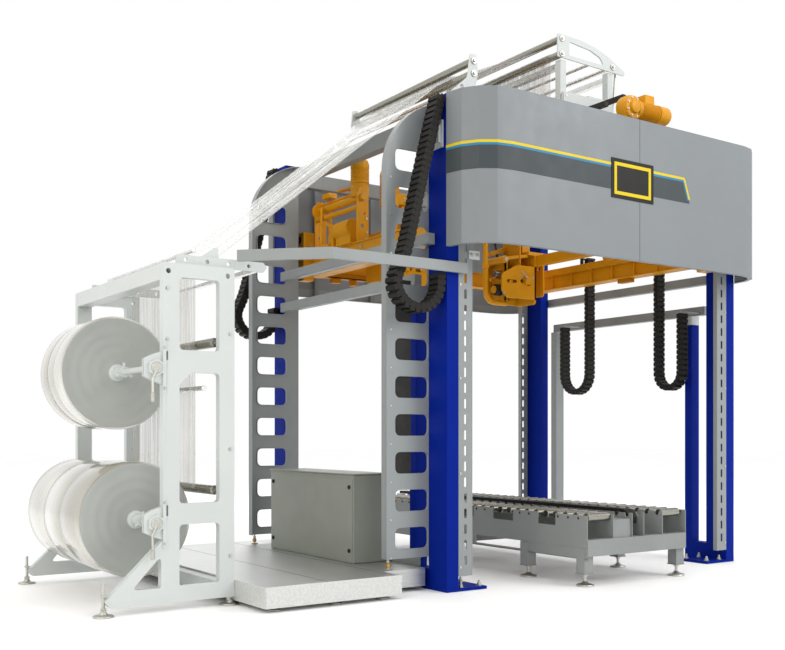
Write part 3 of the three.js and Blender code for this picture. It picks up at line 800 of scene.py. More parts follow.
def rack_foot(shape, x, y):
    """A levelling foot: a dished disc, a threaded stud and two nuts."""
    shape.paint(1)
    dish = [(0, 0.058), (0.004, 0.060), (0.010, 0.056), (0.016, 0.026), (0.030, 0.016)]
    shape.lathe((x, y, 0), (x, y, 1), dish, 32)
    stud = [(i * 0.0035, 0.0088 if i % 2 else 0.0104) for i in range(50)]
    shape.lathe((x, y, 0.018), (x, y, 1), stud, 14)
    for z in (0.030, RACK_LOW - 0.013, RACK_LOW + 0.062):
        shape.rod((x, y, z), (x, y, z + 0.012), 0.018, 6)
    shape.paint(0)


def rack_side(end, sy):
    """One side of the rack: a thick white frame with three rounded windows and a braced toe."""
    outline = rounded([(RACK_RIGHT, RACK_TOP), (RACK_RIGHT, RACK_LOW), (RACK_TOE + 0.04, RACK_LOW),
                       (RACK_TOE, RACK_LOW + 0.04), (RACK_TOE + 0.03, RACK_LOW + 0.06),
                       (RACK_LEFT, RACK_KNEE), (RACK_LEFT, RACK_TOP)],
                      [0.012, 0.004, 0.02, 0.02, 0.02, 0.02, 0.012])
    inner_left = RACK_LEFT + POST_WIDE
    inner_right = RACK_RIGHT - POST_WIDE + 0.003
    brace_x = RACK_LEFT - 0.010
    holes = [
        rectangle(inner_left, inner_right, 1.540, 1.970, 0.028),
        rounded([(inner_left, 0.630), (inner_right, 0.630), (inner_right, 1.408),
                 (inner_left + 0.075, 1.408), (inner_left, 1.333)], [0.028, 0.028, 0.028, 0.04, 0.04]),
        rectangle(inner_left, inner_right, 0.142, 0.506, 0.028),
        rounded([(brace_x, 0.140), (brace_x, 0.330), (brace_x - 0.180, 0.140)], 0.018),
        rectangle(-3.262, -3.250, 1.475, 1.530, 0.006),
        rectangle(-3.262, -3.250, 0.560, 0.625, 0.006),
        disc(-3.248, 2.002, 0.016),
        disc(-2.868, 2.002, 0.016),
    ]
    y = RACK_Y
    shape = Shape()
    shape.plate("XZ", outline, y - RACK_HALF, y + RACK_HALF, holes)
    rack_foot(shape, RACK_TOE + 0.005, y)
    rack_foot(shape, RACK_RIGHT - 0.025, y)
    for x, z in ((-3.255, 1.60), (-3.255, 1.90), (-2.852, 0.30), (-2.852, 0.95), (-2.852, 1.65)):
        shape.paint(1).bolt((x, y + RACK_HALF, z), (0, 1, 0), 0.009, 0.006)
    shape.mirror(1, sy)
    node = f"rack_side_{end}"
    shape.done(f"{node}_frame", "frame", ["white", "zinc"], "white_enamel", 0.002, replaces=node)


def spindle_bracket(end, sy, level, z):
    """The hexagonal bearing block on the rack's post, with its locking lever and rest plate."""
    y0, y1 = RACK_Y - RACK_HALF, RACK_Y + RACK_HALF
    shape = Shape()
    half_heights = [(REEL_X - 0.070, 0.052), (REEL_X - 0.018, 0.078), (RACK_LEFT + 0.006, 0.100)]
    cheek = [(x, z - half) for x, half in half_heights] + [(x, z + half) for x, half in half_heights[::-1]]
    cheek = rounded(cheek, 0.012)
    shape.plate("XZ", cheek, y0 + 0.006, y0 + 0.020)
    shape.plate("XZ", cheek, y1 - 0.020, y1 - 0.006)
    hexagon = arc(REEL_X, z, 0.052, 30, 330, 5)
    shape.plate("XZ", hexagon, y0 - 0.004, y1 + 0.012)
    grip = (REEL_X - 0.034, y1 + 0.034, z - 0.150)
    lever = [(REEL_X, y1 + 0.014, z - 0.010), (REEL_X - 0.030, y1 + 0.020, z - 0.070), grip]
    shape.paint(1).tube(lever, 0.008, 12)
    shape.rod(grip, (grip[0], grip[1], z - 0.205), 0.012, 16, 0.004)
    shape.rod((REEL_X, y1 + 0.010, z), (REEL_X, y1 + 0.020, z), 0.034, 24, 0.003)
    rest_plate = rectangle(RACK_LEFT - 0.001, RACK_LEFT + 0.018, z - 0.15, z + 0.15, 0.004)
    shape.paint(0).plate("XZ", rest_plate, y1, y1 + 0.008)
    for dz in (-0.12, 0.12):
        shape.paint(1).bolt((RACK_LEFT + 0.009, y1 + 0.008, z + dz), (0, 1, 0), 0.007, 0.005)
    shape.mirror(1, sy)
    shape.done(f"spindle_bracket_{end}_{level}", "frame", ["white", "zinc"], "white_enamel", 0.0015)


for end, sy in ENDS.items():
    rack_side(end, sy)
    for level, z in (("upper", 1.430), ("lower", 0.520)):
        spindle_bracket(end, sy, level, z)
for place in ("top", "base"):
    dress(f"rack_crossbar_{place}", "white", 0.004)


def rack_arm(end, sy):
    """The arm at the rack's top right that carries the last idler, with its gusset."""
    y = RACK_Y - RACK_HALF
    shape = Shape()
    arm = rounded([(-3.18, 2.054), (-2.60, 2.054), (-2.575, 2.085), (-2.60, 2.115), (-3.18, 2.115)], 0.010)
    holes = [disc(x, 2.085, 0.013) for x in (-3.12, -2.98, -2.84, -2.70)]
    shape.plate("XZ", arm, y - 0.012, y, holes)
    gusset = rounded([(-3.10, 2.052), (-2.90, 2.052), (-2.90, 2.180), (-2.93, 2.180)], 0.01)
    shape.plate("XZ", gusset, y - 0.024, y - 0.013)
    shape.mirror(1, sy)
    shape.done(f"rack_arm_{end}", "frame", "white", "white_enamel", 0.001)


for end, sy in ENDS.items():
    rack_arm(end, sy)
rack_tie = Shape()
rack_tie.rod((-2.60, -0.763, 2.085), (-2.60, 0.763, 2.085), 0.020, 28, 0.003)
rack_tie.rod((-3.06, -0.763, 2.150), (-3.06, 0.763, 2.150), 0.014, 24, 0.002)
rack_tie.rod((-3.00, -0.773, 1.320), (-3.00, 0.773, 1.320), 0.016, 24, 0.002)
rack_tie.done("rack_tie_rods", "frame", "bright", "roller_steel", 0)


# ---- reels ----
REEL_STEPS = (0, 0.0045, 0.003)
REEL_ENDS = {"upper": (-0.160, 0.280), "lower": (-0.490, 0.600)}
END_RINGS = 8
WING_ANGLES = (90, 210, 330)


def reel(level, z, r, y0, y1):
    """Film wound on a core: bands of slightly different radius, ringed ends, spindle, cones and nuts."""
    tips = ((Vector((REEL_X, y0, z)), -1), (Vector((REEL_X, y1, z)), 1))
    length = y1 - y0
    wound = [(0, r - 0.022), (0.002, r - 0.006)]
    for i, step in enumerate(REEL_STEPS):
        a = length * i / len(REEL_STEPS)
        b = length * (i + 1) / len(REEL_STEPS)
        edge, crown = r - step - 0.0012, r - step
        wound += [(a + 0.002, edge), (a + 0.006, crown), (b - 0.006, crown), (b - 0.002, edge)]
    wound += [(length - 0.0015, r - 0.006), (length, r - 0.022)]
    shape = Shape()
    shape.lathe(tips[0][0], tips[1][0], wound, 96)
    shape.paint(1)
    for start, way in tips:
        face = start + Vector((0, way * 0.0006, 0))
        rim = r - 0.012
        rings = [(0, rim), (0.0016, rim - 0.002)]
        for k in range(1, END_RINGS + 1):
            ring = rim * (1 - k / 10.0)
            rings += [(0.0016 + 0.0007 * (k % 2), ring + 0.004), (0.0016 + 0.0007 * ((k + 1) % 2), ring)]
        shape.lathe(face, face + Vector((0, way, 0)), rings, 72)
    shape.paint(2)
    for start, way in tips:
        cone = [(0, 0.056), (0.012, 0.054), (0.020, 0.042), (0.060, 0.036), (0.064, 0.028), (0.110, 0.028)]
        shape.lathe(start + Vector((0, way * 0.003, 0)), start + Vector((0, way, 0)), cone, 32)
        nut = start + Vector((0, way * 0.115, 0))
        shape.rod(nut, nut + Vector((0, way * 0.028, 0)), 0.038, 6)
        for angle in WING_ANGLES:
            a = math.radians(angle)
            wing = Vector((math.cos(a) * 0.058, way * 0.014, math.sin(a) * 0.058))
            shape.rod(nut + Vector((0, way * 0.014, 0)), nut + wing, 0.009, 12)
    shape.rod((REEL_X, -0.763, z), (REEL_X, 0.763, z), 0.019, 32, 0.002)
    node = f"film_reel_{level}"
    shape.done(f"{node}_wound", f"reel_{level}", ["reel", "reel_end", "white"], "film", 0, replaces=node)


for level in LEVELS:
    low, high = node_box(f"film_reel_{level}")
    reel(level, (low.z + high.z) / 2, (high.z - low.z) / 2, *REEL_ENDS[level])


# ---- idlers and rollers on through shafts ----
def turned_roller(node):
    """A smooth roller with stepped journals in place of the faceted one."""
    low, high = node_box(node)
    x, z = (low.x + high.x) / 2, (low.z + high.z) / 2
    r = (high.z - low.z) / 2
    length = high.y - low.y
    journal, shoulder = r * 0.45, r * 0.96
    profile = [(0, journal), (0.016, journal), (0.018, shoulder), (0.022, r), (length - 0.022, r),
               (length - 0.018, shoulder), (length - 0.016, journal), (length, journal)]
    shape = Shape().lathe((x, low.y, z), (x, high.y, z), profile, 36)
    shape.done(f"{node}_turned", f"{node}_body", "roller", "roller_steel", 0, replaces=node)


for level in LEVELS:
    for kind in ("rack_idler", "infeed_roller", "head_roller"):
        turned_roller(f"{kind}_{level}")


# ---- film web ----
FILM_HALF_WIDE = 0.55
FILM_THICK = 0.0008
FILM_ACROSS, FILM_ALONG = 44, 40


def film_web(name, path, look, node, sag=0.0, crease=0.005):
    """A thin web stretched along a line seen from the front, with faint lengthwise creases."""
    across, along = FILM_ACROSS, FILM_ALONG
    points = [Vector(p) for p in path]
    lengths = [(b - a).length for a, b in zip(points, points[1:])]
    total = sum(lengths)
    mesh = bpy.data.meshes.new(name)
    verts = []
    for i in range(along + 1):
        s = total * i / along
        k = 0
        while k < len(lengths) - 1 and s > lengths[k]:
            s -= lengths[k]
            k += 1
        t = min(1.0, s / lengths[k])
        base = points[k].lerp(points[k + 1], t)
        way = (points[k + 1] - points[k]).normalized()
        side = Vector((-way.y, way.x))
        middle = math.sin(math.pi * i / along)
        for j in range(across + 1):
            v = j / across
            y = -FILM_HALF_WIDE + 2 * FILM_HALF_WIDE * v
            nearer_edge = 0.4 + 0.6 * abs(v - 0.5) * 2
            wave = math.sin(v * 41 + 1.3 * math.sin(v * 17)) * crease * middle * nearer_edge
            wave -= sag * middle
            spot = base + side * wave
            verts.append((spot.x + CENTRE.x, y + CENTRE.y, spot.y))
    row = across + 1
    faces = []
    for i in range(along):
        for j in range(across):
            a = i * row + j
            faces.append((a, a + 1, a + row + 1, a + row))
    mesh.from_pydata(verts, [], faces)
    for face in mesh.polygons:
        face.use_smooth = True
    mesh.materials.append(MAT[look])
    piece = bpy.data.objects.new(name, mesh)
    bpy.context.scene.collection.objects.link(piece)
    body = piece.modifiers.new("thickness", "SOLIDIFY")
    body.thickness = FILM_THICK
    body.offset = 0
    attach(piece, "frame")
    if node:
        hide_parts(node)


film_web("film_web_riser", [(-2.960, 0.702), (-2.960, 2.040)], "film_up", "film_riser")
film_web("film_web_incline", [(-2.958, 2.044), (-0.964, 3.668)], "film_slope", "film_incline",
         0.006)
film_web("film_web_bridge", [(-0.960, 3.671), (-0.884, 3.690), (-0.014, 4.072)], "film_slope", "film_bridge",
         0.004)
film_web("film_web_curtain", [(0.052, 4.050), (0.056, 3.640)], "film_up", None,
         0.0, 0.008)


# ---- infeed arms ----
ROLLER_BOLTS = (3.632, 3.722)
ROLLER_BOLT_X = -0.924


def bearing_cap(shape, x, y, z, r, thick, high):
    """A round cap over a shaft's end, with a hexagon nut in its middle."""
    shape.paint(1).rod((x, y, z), (x, y + thick, z), r, 24, 0.002)
    shape.rod((x, y + thick, z), (x, y + high, z), 0.012, 6)


def infeed_arm(end, sy):
    """The sloping plate that holds the infeed rollers at one end, on a bolted foot."""
    node = f"infeed_arm_{end}"
    low, high = node_box(node)
    y0, y1 = 0.780, 0.792
    foot = low.z
    top = high.z
    outline = rounded([(low.x, foot), (low.x + 0.108, foot), (-0.905, 3.545), (-0.882, 3.640),
                       (-0.896, top), (-0.955, top), (-0.975, 3.600)],
                      [0.004, 0.02, 0.05, 0.03, 0.015, 0.015, 0.05])
    holes = [disc(-1.12, 3.440, 0.020), disc(-1.03, 3.520, 0.016)]
    holes += [disc(ROLLER_BOLT_X, z, 0.012) for z in ROLLER_BOLTS[::-1]]
    shape = Shape()
    shape.plate("XZ", outline, y0, y1, holes)
    shape.box(low.x, low.x + 0.078, y0 - 0.040, y1 + 0.040, foot, foot + 0.012)
    for z in ROLLER_BOLTS:
        bearing_cap(shape, ROLLER_BOLT_X, y1, z, 0.024, 0.010, 0.022)
    for x in (low.x + 0.02, low.x + 0.058):
        for y in (y0 - 0.024, y1 + 0.024):
            shape.bolt((x, y, foot + 0.012), (0, 0, 1), 0.008, 0.006)
    shape.mirror(1, sy)
    shape.done(f"{node}_plate", "frame", ["white", "zinc"], "white_enamel", 0.001, replaces=node)


for end, sy in ENDS.items():
    infeed_arm(end, sy)
guards = Shape()
guards.rod((-0.940, -0.775, 3.560), (-0.940, 0.775, 3.560), 0.012, 20, 0.002)
guards.rod((-1.060, -0.775, 3.470), (-1.060, 0.775, 3.470), 0.012, 20, 0.002)
guards.done("infeed_guard_rods", "frame", "bright", "roller_steel", 0)


# ---- film head ----
def head_plate(end, sy):
    """The arched plate at one end of the film head, open in the middle, with three bearing caps."""
    node = f"head_plate_{end}"
    low, high = node_box(node)
    y0, y1 = 0.700, 0.712
    left, right, foot, top = low.x, high.x, low.z, high.z
    arch = [(left + 0.080, top), (left + 0.250, top - 0.006), (left + 0.400, top - 0.028),
            (left + 0.530, top - 0.064), (left + 0.640, top - 0.112), (right, foot + 0.030)]
    outline = rounded([(left, foot + 0.010), (right, foot), *arch[::-1], (left, top)],
                      [0.01, 0.012, 0.012, 0.2, 0.3, 0.3, 0.3, 0.1, 0.012])
    window = rounded([(left + 0.120, foot + 0.042), (left + 0.500, foot + 0.036), (left + 0.470, top - 0.100),
                      (left + 0.350, top - 0.062), (left + 0.120, top - 0.042)],
                     [0.02, 0.03, 0.08, 0.12, 0.02])
    caps = [(left + 0.040, top - 0.034), (left + 0.040, foot + 0.036), (left + 0.600, foot + 0.045)]
    holes = [window, disc(*caps[0], 0.012), disc(*caps[1], 0.012), disc(*caps[2], 0.014)]
    shape = Shape()
    shape.plate("XZ", outline, y0, y1, holes)
    for x, z in caps:
        bearing_cap(shape, x, y1, z, 0.025, 0.009, 0.020)
    shape.mirror(1, sy)
    shape.done(f"{node}_arched", "frame", ["white", "zinc"], "white_enamel", 0.001, replaces=node)


for end, sy in ENDS.items():
    head_plate(end, sy)
dress("head_stand", "white", 0.002)

head_extra = Shape()
head_extra.rod((0.580, -0.699, 4.005), (0.580, 0.699, 4.005), 0.020, 28, 0.003)
head_extra.rod((0.320, -0.699, 3.975), (0.320, 0.699, 3.975), 0.014, 24, 0.002)
for x in (0.020, 0.560):
    head_extra.box(x, x + 0.050, -0.640, 0.640, 3.900, 3.940)
head_extra.done("head_tie_bars", "frame", "bright", "roller_steel", 0.001)
dark_bars = Shape()
for x, z in ((0.110, 3.520), (0.490, 3.520), (0.300, 3.610)):
    dark_bars.box(x - 0.018, x + 0.018, -1.10, 0.90, z - 0.018, z + 0.018)
dark_bars.done("head_dark_bars", "frame", "dark", "black_chain", 0.002)
head_box = Shape()
head_box.box(0.020, 0.430, -0.738, -0.708, 3.300, 3.700)
head_box.paint(1)
for x in (0.045, 0.405):
    for z in (3.330, 3.670):
        head_box.bolt((x, -0.738, z), (0, -1, 0), 0.007, 0.004)
head_box.done("head_drive_box", "frame", ["white", "zinc"], "white_enamel", 0.004)
rod_end = Shape()
rod_end.tube([(0.640, -0.66, 3.62), (0.660, -0.66, 3.90), (0.665, -0.66, 3.99)], 0.010, 14)
rod_end.rod((0.665, -0.682, 4.010), (0.665, -0.640, 4.010), 0.024, 24, 0.003)
rod_end.done("head_rod_end", "frame", "zinc", "roller_steel", 0)


# ---- geared motor on the top frame ----
MOTOR_FINS = 14
GEAR_X, GEAR_Z, GEAR_FACE = 0.285, 3.500, -1.212


def cooling_motor(shape, start, end, r):
    """A motor's body: finned barrel, end bell and fan cowl along one axis."""
    start, end = Vector(start), Vector(end)
    length = (end - start).length
    root, fin = r * 0.86, r * 0.97
    profile = [(0, r * 0.98), (length * 0.10, r * 0.98), (length * 0.11, root)]
    step = length * 0.52 / MOTOR_FINS
    for k in range(MOTOR_FINS):
        a = length * (0.12 + 0.52 * k / MOTOR_FINS)
        profile += [(a, root), (a + step * 0.25, fin), (a + step * 0.55, fin), (a + step * 0.8, root)]
    profile += [(length * 0.66, root), (length * 0.67, r), (length * 0.95, r), (length, root),
                (length + 0.001, r * 0.5)]
    shape.lathe(start, end, profile, 32)


gear_foot = node_box("lift_gearmotor")[0].z
drive = Shape()
housing = rounded([(0.232, gear_foot), (0.338, gear_foot), (0.352, 3.45), (0.340, 3.588), (0.232, 3.588),
                   (0.218, 3.45)], 0.02)
drive.plate("XZ", housing, -1.186, -1.114)
gear_case = [(0, 0.092), (0.076, 0.094), (0.080, 0.088), (0.100, 0.084), (0.104, 0.050), (0.122, 0.046),
             (0.128, 0.030)]
drive.lathe((GEAR_X, -1.112, GEAR_Z), (GEAR_X, -1.240, GEAR_Z), gear_case, 36)
for x, z in arc(GEAR_X, GEAR_Z, 0.070, 20, 335, 7):
    drive.paint(1).bolt((x, GEAR_FACE, z), (0, -1, 0), 0.007, 0.007)
drive.paint(0)
cooling_motor(drive, (0.332, -1.165, 3.500), (0.688, -1.165, 3.500), 0.072)
drive.box(0.420, 0.520, -1.200, -1.120, 3.560, 3.622)
drive.paint(1).rod((0.520, -1.160, 3.590), (0.545, -1.160, 3.590), 0.012, 16, 0.002)
drive.paint(0).box(0.225, 0.345, -1.19, -1.11, gear_foot, gear_foot + 0.012)
drive.done("lift_gearmotor_cast", "frame", ["orange", "zinc"], "orange_enamel", 0.0025,
           replaces="lift_gearmotor")


# ---- lift: side beams with raised flanges, guide shoes with wheels, spread beams ----
BEAM_IN, BEAM_OUT, BEAM_LOW, BEAM_HIGH, BEAM_Y = 1.080, 1.180, 2.390, 2.570, 1.140
SHOE_OUT = 1.262
dress("lift_frame", "orange", 0.004)
lift_trim = Shape()
for sx in (-1, 1):
    for z in (BEAM_LOW - 0.003, BEAM_HIGH - 0.007):
        lift_trim.box(sx * (BEAM_IN - 0.016), sx * (BEAM_OUT + 0.014), -BEAM_Y + 0.002, BEAM_Y - 0.002,
                      z, z + 0.010)
    lift_trim.box(sx * (BEAM_IN - 0.004), sx * BEAM_IN, -BEAM_Y, BEAM_Y, 2.462, 2.500)
    lift_trim.box(sx * (BEAM_IN - 0.026), sx * (BEAM_IN - 0.006), -BEAM_Y + 0.02, BEAM_Y - 0.02,
                  2.512, 2.562)
    for k in range(9):
        y = -1.0 + 0.25 * k
        lift_trim.box(sx * (BEAM_IN - 0.024), sx * BEAM_IN, y - 0.004, y + 0.004,
                      BEAM_LOW + 0.006, BEAM_HIGH - 0.008)
for sy in (-1, 1):
    for z in (2.436, 2.564):
        lift_trim.box(-BEAM_OUT + 0.002, BEAM_OUT - 0.002, sy * 1.030, sy * 1.146, z, z + 0.009)
lift_trim.done("lift_flanges", "lift", "orange", "orange_enamel", 0.0015)

for end, side, sx, sy in CORNERS:
    shoe = Shape()
    for z in (2.40, 2.70):
        shoe.rod((SHOE_OUT - 0.030, 1.150, z), (SHOE_OUT + 0.0015, 1.150, z), 0.034, 24, 0.003)
    shoe.paint(1)
    for z in (2.46, 2.55, 2.64):
        for y in (1.105, 1.165):
            shoe.bolt((SHOE_OUT - 0.075, y + 0.024, z), (0, 1, 0), 0.008, 0.005)
        shoe.bolt((1.20, 1.0795, z), (0, -1, 0), 0.009, 0.006)
    shoe.mirror(sx, sy)
    shoe.done(f"lift_shoe_{end}_{side}", "lift", ["dark", "zinc"], "orange_enamel", 0)
    beam_bolts = Shape()
    for y in (0.30, 0.62, 0.98):
        for z in (2.43, 2.53):
            beam_bolts.bolt((BEAM_OUT, y, z), (1, 0, 0), 0.010, 0.007)
    beam_bolts.mirror(sx, sy)
    beam_bolts.done(f"lift_bolts_{end}_{side}", "lift", "zinc", "roller_steel", 0)

# Spread beams: two guide rails and a toothed rack on each.
RACK_TEETH, TOOTH_PITCH = 111, 0.02
for side, sx in SIDES.items():
    dress(f"spread_beam_{side}", "orange", 0.003)
    rail = Shape()
    for x in (0.800, 0.860):
        rail.box(sx * (x - 0.008), sx * (x + 0.008), -1.12, 1.12, 2.6605, 2.6635)
    rail.paint(1)
    for k in range(RACK_TEETH):
        y = -1.10 + TOOTH_PITCH * k
        rail.box(sx * 0.8735, sx * 0.8700, y, y + TOOTH_PITCH / 2, 2.600, 2.622)
    rail.done(f"spread_beam_rail_{side}", f"spread_{side}", ["bright", "orange_deep"], "roller_steel", 0)

# Carriages that hold the spread beams on the lift's cross beams.
for side, sx in SIDES.items():
    carriage = Shape()
    for sy in (-1, 1):
        carriage.box(sx * 0.745, sx * 0.788, sy * 1.045, sy * 1.130, 2.578, 2.700)
        carriage.box(sx * 0.872, sx * 0.915, sy * 1.045, sy * 1.130, 2.578, 2.700)
        carriage.box(sx * 0.745, sx * 0.915, sy * 1.045, sy * 1.130, 2.664, 2.704)
        x, y = sx * 0.83, sy * 1.087
        carriage.paint(1).rod((x, y, 2.704), (x, y, 2.722), 0.020, 6).paint(0)
    carriage.done(f"spread_carriage_{side}", f"spread_{side}", ["orange", "zinc"], "orange_enamel", 0.003)


# ---- stretch units ----
RIB_PITCH = 0.018


def bell_ribs(first, count, crown, root):
    """The grooves round a bell-shaped motor, as part of its turned profile."""
    made = []
    for k in range(count):
        a = first + RIB_PITCH * k
        made += [(a, crown), (a + 0.005, root), (a + 0.012, root), (a + 0.016, crown)]
    return made


# FRONT_UP is how much higher the working parts of the front units stand.
UNIT_Y, UNIT_HALF, UNIT_LOW, FRONT_UP, ARM_Z, MOTOR_TOP = 0.550, 0.130, 2.200, 0.300, 2.900, 3.255
IN_FACE, OUT_FACE = 0.786, 0.874


def cheek_plate(shape, y, z0, z1):
    """One cheek of a stretch unit: a plate that tapers to its nose, with bearing holes and a slot."""
    outline = rounded([(0.384, z0 + 0.060), (0.440, z0), (IN_FACE, z0), (IN_FACE, z1), (0.560, z1),
                       (0.384, z1 - 0.090)], [0.03, 0.05, 0.004, 0.004, 0.06, 0.05])
    middle = (z0 + z1) / 2
    holes = [disc(0.700, middle, 0.030), disc(0.620, middle + 0.010, 0.020),
             rectangle(0.440, 0.560, middle - 0.014, middle + 0.014, 0.013)]
    shape.plate("XZ", outline, y, y + 0.014, holes)


def unit_body(up):
    """Hangers, cheeks and brackets: the welded part of a unit."""
    def z(height):
        return UNIT_LOW + height + up
    y0, y1 = UNIT_Y - UNIT_HALF, UNIT_Y + UNIT_HALF
    hanger_low = min(UNIT_LOW + 0.020 + up, 2.500)
    shape = Shape()
    shape.plate("XY", rectangle(0.700, 0.915, y0, y1, 0.012), 2.664, 2.694)
    shape.plate("YZ", rectangle(y0, y1, max(hanger_low, 2.300), 2.680, 0.03), OUT_FACE, OUT_FACE + 0.016,
                [disc(UNIT_Y - 0.07, 2.560, 0.018), disc(UNIT_Y + 0.07, 2.560, 0.018)])
    shape.plate("YZ", rectangle(y0, y1, hanger_low, 2.680 + up, 0.03), IN_FACE - 0.016, IN_FACE)
    cheek_plate(shape, y0, z(0.060), z(0.360))
    cheek_plate(shape, y1 - 0.014, z(0.030), z(0.460))
    shape.box(0.470, 0.486, UNIT_Y - 0.070, y1, z(0.040), z(0.440))
    shape.box(0.504, 0.520, UNIT_Y - 0.070, y1, z(0.040), z(0.440))
    shape.box(0.470, 0.520, UNIT_Y - 0.070, UNIT_Y - 0.058, z(0.040), z(0.440))
    shape.box(0.604, 0.636, y0 + 0.014, y1 - 0.014, 2.545 + up / 2, 2.560 + up / 2)
    shape.box(0.604, 0.616, y0 + 0.014, y1 - 0.014, 2.545 + up / 2, 2.860)
    shape.box(0.270, IN_FACE, UNIT_Y - 0.030, UNIT_Y - 0.022, ARM_Z - 0.060, ARM_Z)
    shape.box(0.270, IN_FACE, UNIT_Y + 0.022, UNIT_Y + 0.030, ARM_Z - 0.060, ARM_Z)
    shape.box(0.270, IN_FACE, UNIT_Y - 0.030, UNIT_Y + 0.030, ARM_Z - 0.008, ARM_Z)
    shape.box(0.694, IN_FACE - 0.002, UNIT_Y - 0.050, UNIT_Y + 0.050, 2.670, ARM_Z + 0.050)
    gusset = [(0.560, ARM_Z - 0.062), (0.694, ARM_Z - 0.062), (0.694, 2.700), (0.660, 2.700)]
    shape.plate("XZ", rounded(gusset, 0.01), UNIT_Y - 0.006, UNIT_Y + 0.006)
    shape.brick((0.560, UNIT_Y + 0.085, z(0.52)), (1, 0, 0.35), (-0.35, 0, 1), (0.150, 0.022, 0.018))
    shape.brick((0.545, UNIT_Y - 0.090, z(0.43)), (1, 0, 0.18), (-0.18, 0, 1), (0.165, 0.016, 0.014))
    shape.box(0.640, 0.700, y0 - 0.028, y0 + 0.002, z(0.19), z(0.27))
    return shape


def unit_turned(shape, up):
    """Rollers, bow arm, bell motor and gearbox of a unit."""
    def z(height):
        return UNIT_LOW + height + up
    y0, y1 = UNIT_Y - UNIT_HALF, UNIT_Y + UNIT_HALF
    ribs = [(0, 0.030), (0.004, 0.050)]
    for k in range(9):
        a = 0.012 + 0.040 * k
        ribs += [(a, 0.052), (a + 0.028, 0.052), (a + 0.030, 0.046), (a + 0.038, 0.046)]
    ribs += [(0.372, 0.050), (0.374, 0.030)]
    shape.paint(3).lathe((0.400, UNIT_Y, z(0.140)), (0.774, UNIT_Y, z(0.140)), ribs, 30)
    shape.paint(2).rod((0.400, UNIT_Y, z(0.280)), (0.774, UNIT_Y, z(0.280)), 0.037, 28, 0.004)
    shape.paint(0).rod((0.386, UNIT_Y, z(0.140)), (0.402, UNIT_Y, z(0.140)), 0.034, 24, 0.003)
    shape.rod((0.430, y0 + 0.001, z(0.400)), (0.430, y1 - 0.001, z(0.400)), 0.033, 28, 0.004)
    shape.paint(1).rod((0.430, y0 - 0.006, z(0.400)), (0.430, y0 + 0.001, z(0.400)), 0.020, 6)
    shape.paint(0)
    low = z(0.022)
    bow = [(0.300, UNIT_Y, ARM_Z - 0.012), (0.300, UNIT_Y, low + 0.108)]
    bow += [(x, UNIT_Y, h) for x, h in arc(0.408, low + 0.108, 0.108, 180, 270, 14)[1:]]
    bow += [(0.540, UNIT_Y, low)]
    shape.tube(bow, 0.023, 22)
    shape.rod((0.300, UNIT_Y, ARM_Z - 0.075), (0.300, UNIT_Y, ARM_Z + 0.012), 0.034, 24, 0.004)
    shape.rod((0.300, UNIT_Y, low + 0.300), (0.300, UNIT_Y, low + 0.340), 0.031, 24, 0.004)
    bell = [(0, 0.060), (0.012, 0.082), (0.100, 0.083), (0.106, 0.076), (0.118, 0.076), (0.124, 0.083)]
    bell += bell_ribs(0.136, 7, 0.083, 0.077)
    bell += [(0.276, 0.083), (0.302, 0.076), (0.316, 0.060), (0.3245, 0.030)]
    shape.lathe((0.740, UNIT_Y, ARM_Z + 0.030), (0.740, UNIT_Y, MOTOR_TOP), bell, 36)
    gearbox = rectangle(UNIT_Y - 0.058, UNIT_Y + 0.058, ARM_Z + 0.062, ARM_Z + 0.158, 0.02)
    shape.plate("YZ", gearbox, 0.562, 0.756)
    gear_z = ARM_Z + 0.110
    shape.rod((0.600, UNIT_Y - 0.062, gear_z), (0.600, UNIT_Y + 0.062, gear_z), 0.044, 28, 0.004)
    shape.rod((0.614, UNIT_Y, ARM_Z + 0.060), (0.614, UNIT_Y, ARM_Z + 0.002), 0.032, 24, 0.003)
    shape.paint(1)
    for x, h in arc(0.600, gear_z, 0.032, 15, 315, 5):
        shape.bolt((x, UNIT_Y - 0.062, h), (0, -1, 0), 0.005, 0.005)
    for x in (0.400, 0.620, 0.750):
        shape.bolt((x, y0, z(0.100 + 0.16 * (x > 0.5))), (0, -1, 0), 0.008, 0.006)
        shape.bolt((x, y1, z(0.120 + 0.20 * (x > 0.5))), (0, 1, 0), 0.008, 0.006)
    for y in (y0 + 0.030, y1 - 0.030):
        for h in (2.585, 2.640):
            shape.bolt((OUT_FACE + 0.016, y, h), (1, 0, 0), 0.009, 0.006)
        shape.bolt((0.725, y, 2.694), (0, 0, 1), 0.009, 0.007)
    lead = [(0.640, y0 - 0.028, z(0.23)), (0.640, y0 - 0.055, z(0.24)), (0.560, y0 - 0.060, z(0.30))]
    shape.tube(lead, 0.006, 10)
    shape.paint(3)
    hose = [(0.614, UNIT_Y + 0.070, ARM_Z + 0.100), (0.560, UNIT_Y + 0.100, ARM_Z + 0.060),
            (0.500, UNIT_Y + 0.105, ARM_Z - 0.080), (0.520, UNIT_Y + 0.100, ARM_Z - 0.220),
            (0.505, UNIT_Y + 0.092, max(z(0.440), 2.62))]
    shape.tube(smooth_line(hose, 5), 0.009, 10)
    shape.paint(0)
    return shape


def smooth_line(points, steps):
    """A Catmull-Rom curve through the points."""
    points = [Vector(p) for p in points]
    padded = [points[0] * 2 - points[1], *points, points[-1] * 2 - points[-2]]
    made = []
    for i in range(1, len(padded) - 2):
        a, b, c, d = padded[i - 1:i + 3]
        for k in range(steps):
            t = k / steps
            made.append(0.5 * (b * 2 + (c - a) * t + (a * 2 - b * 5 + c * 4 - d) * t ** 2
                               + (b * 3 - a - c * 3 + d) * t ** 3))
    made.append(points[-1])
    return made


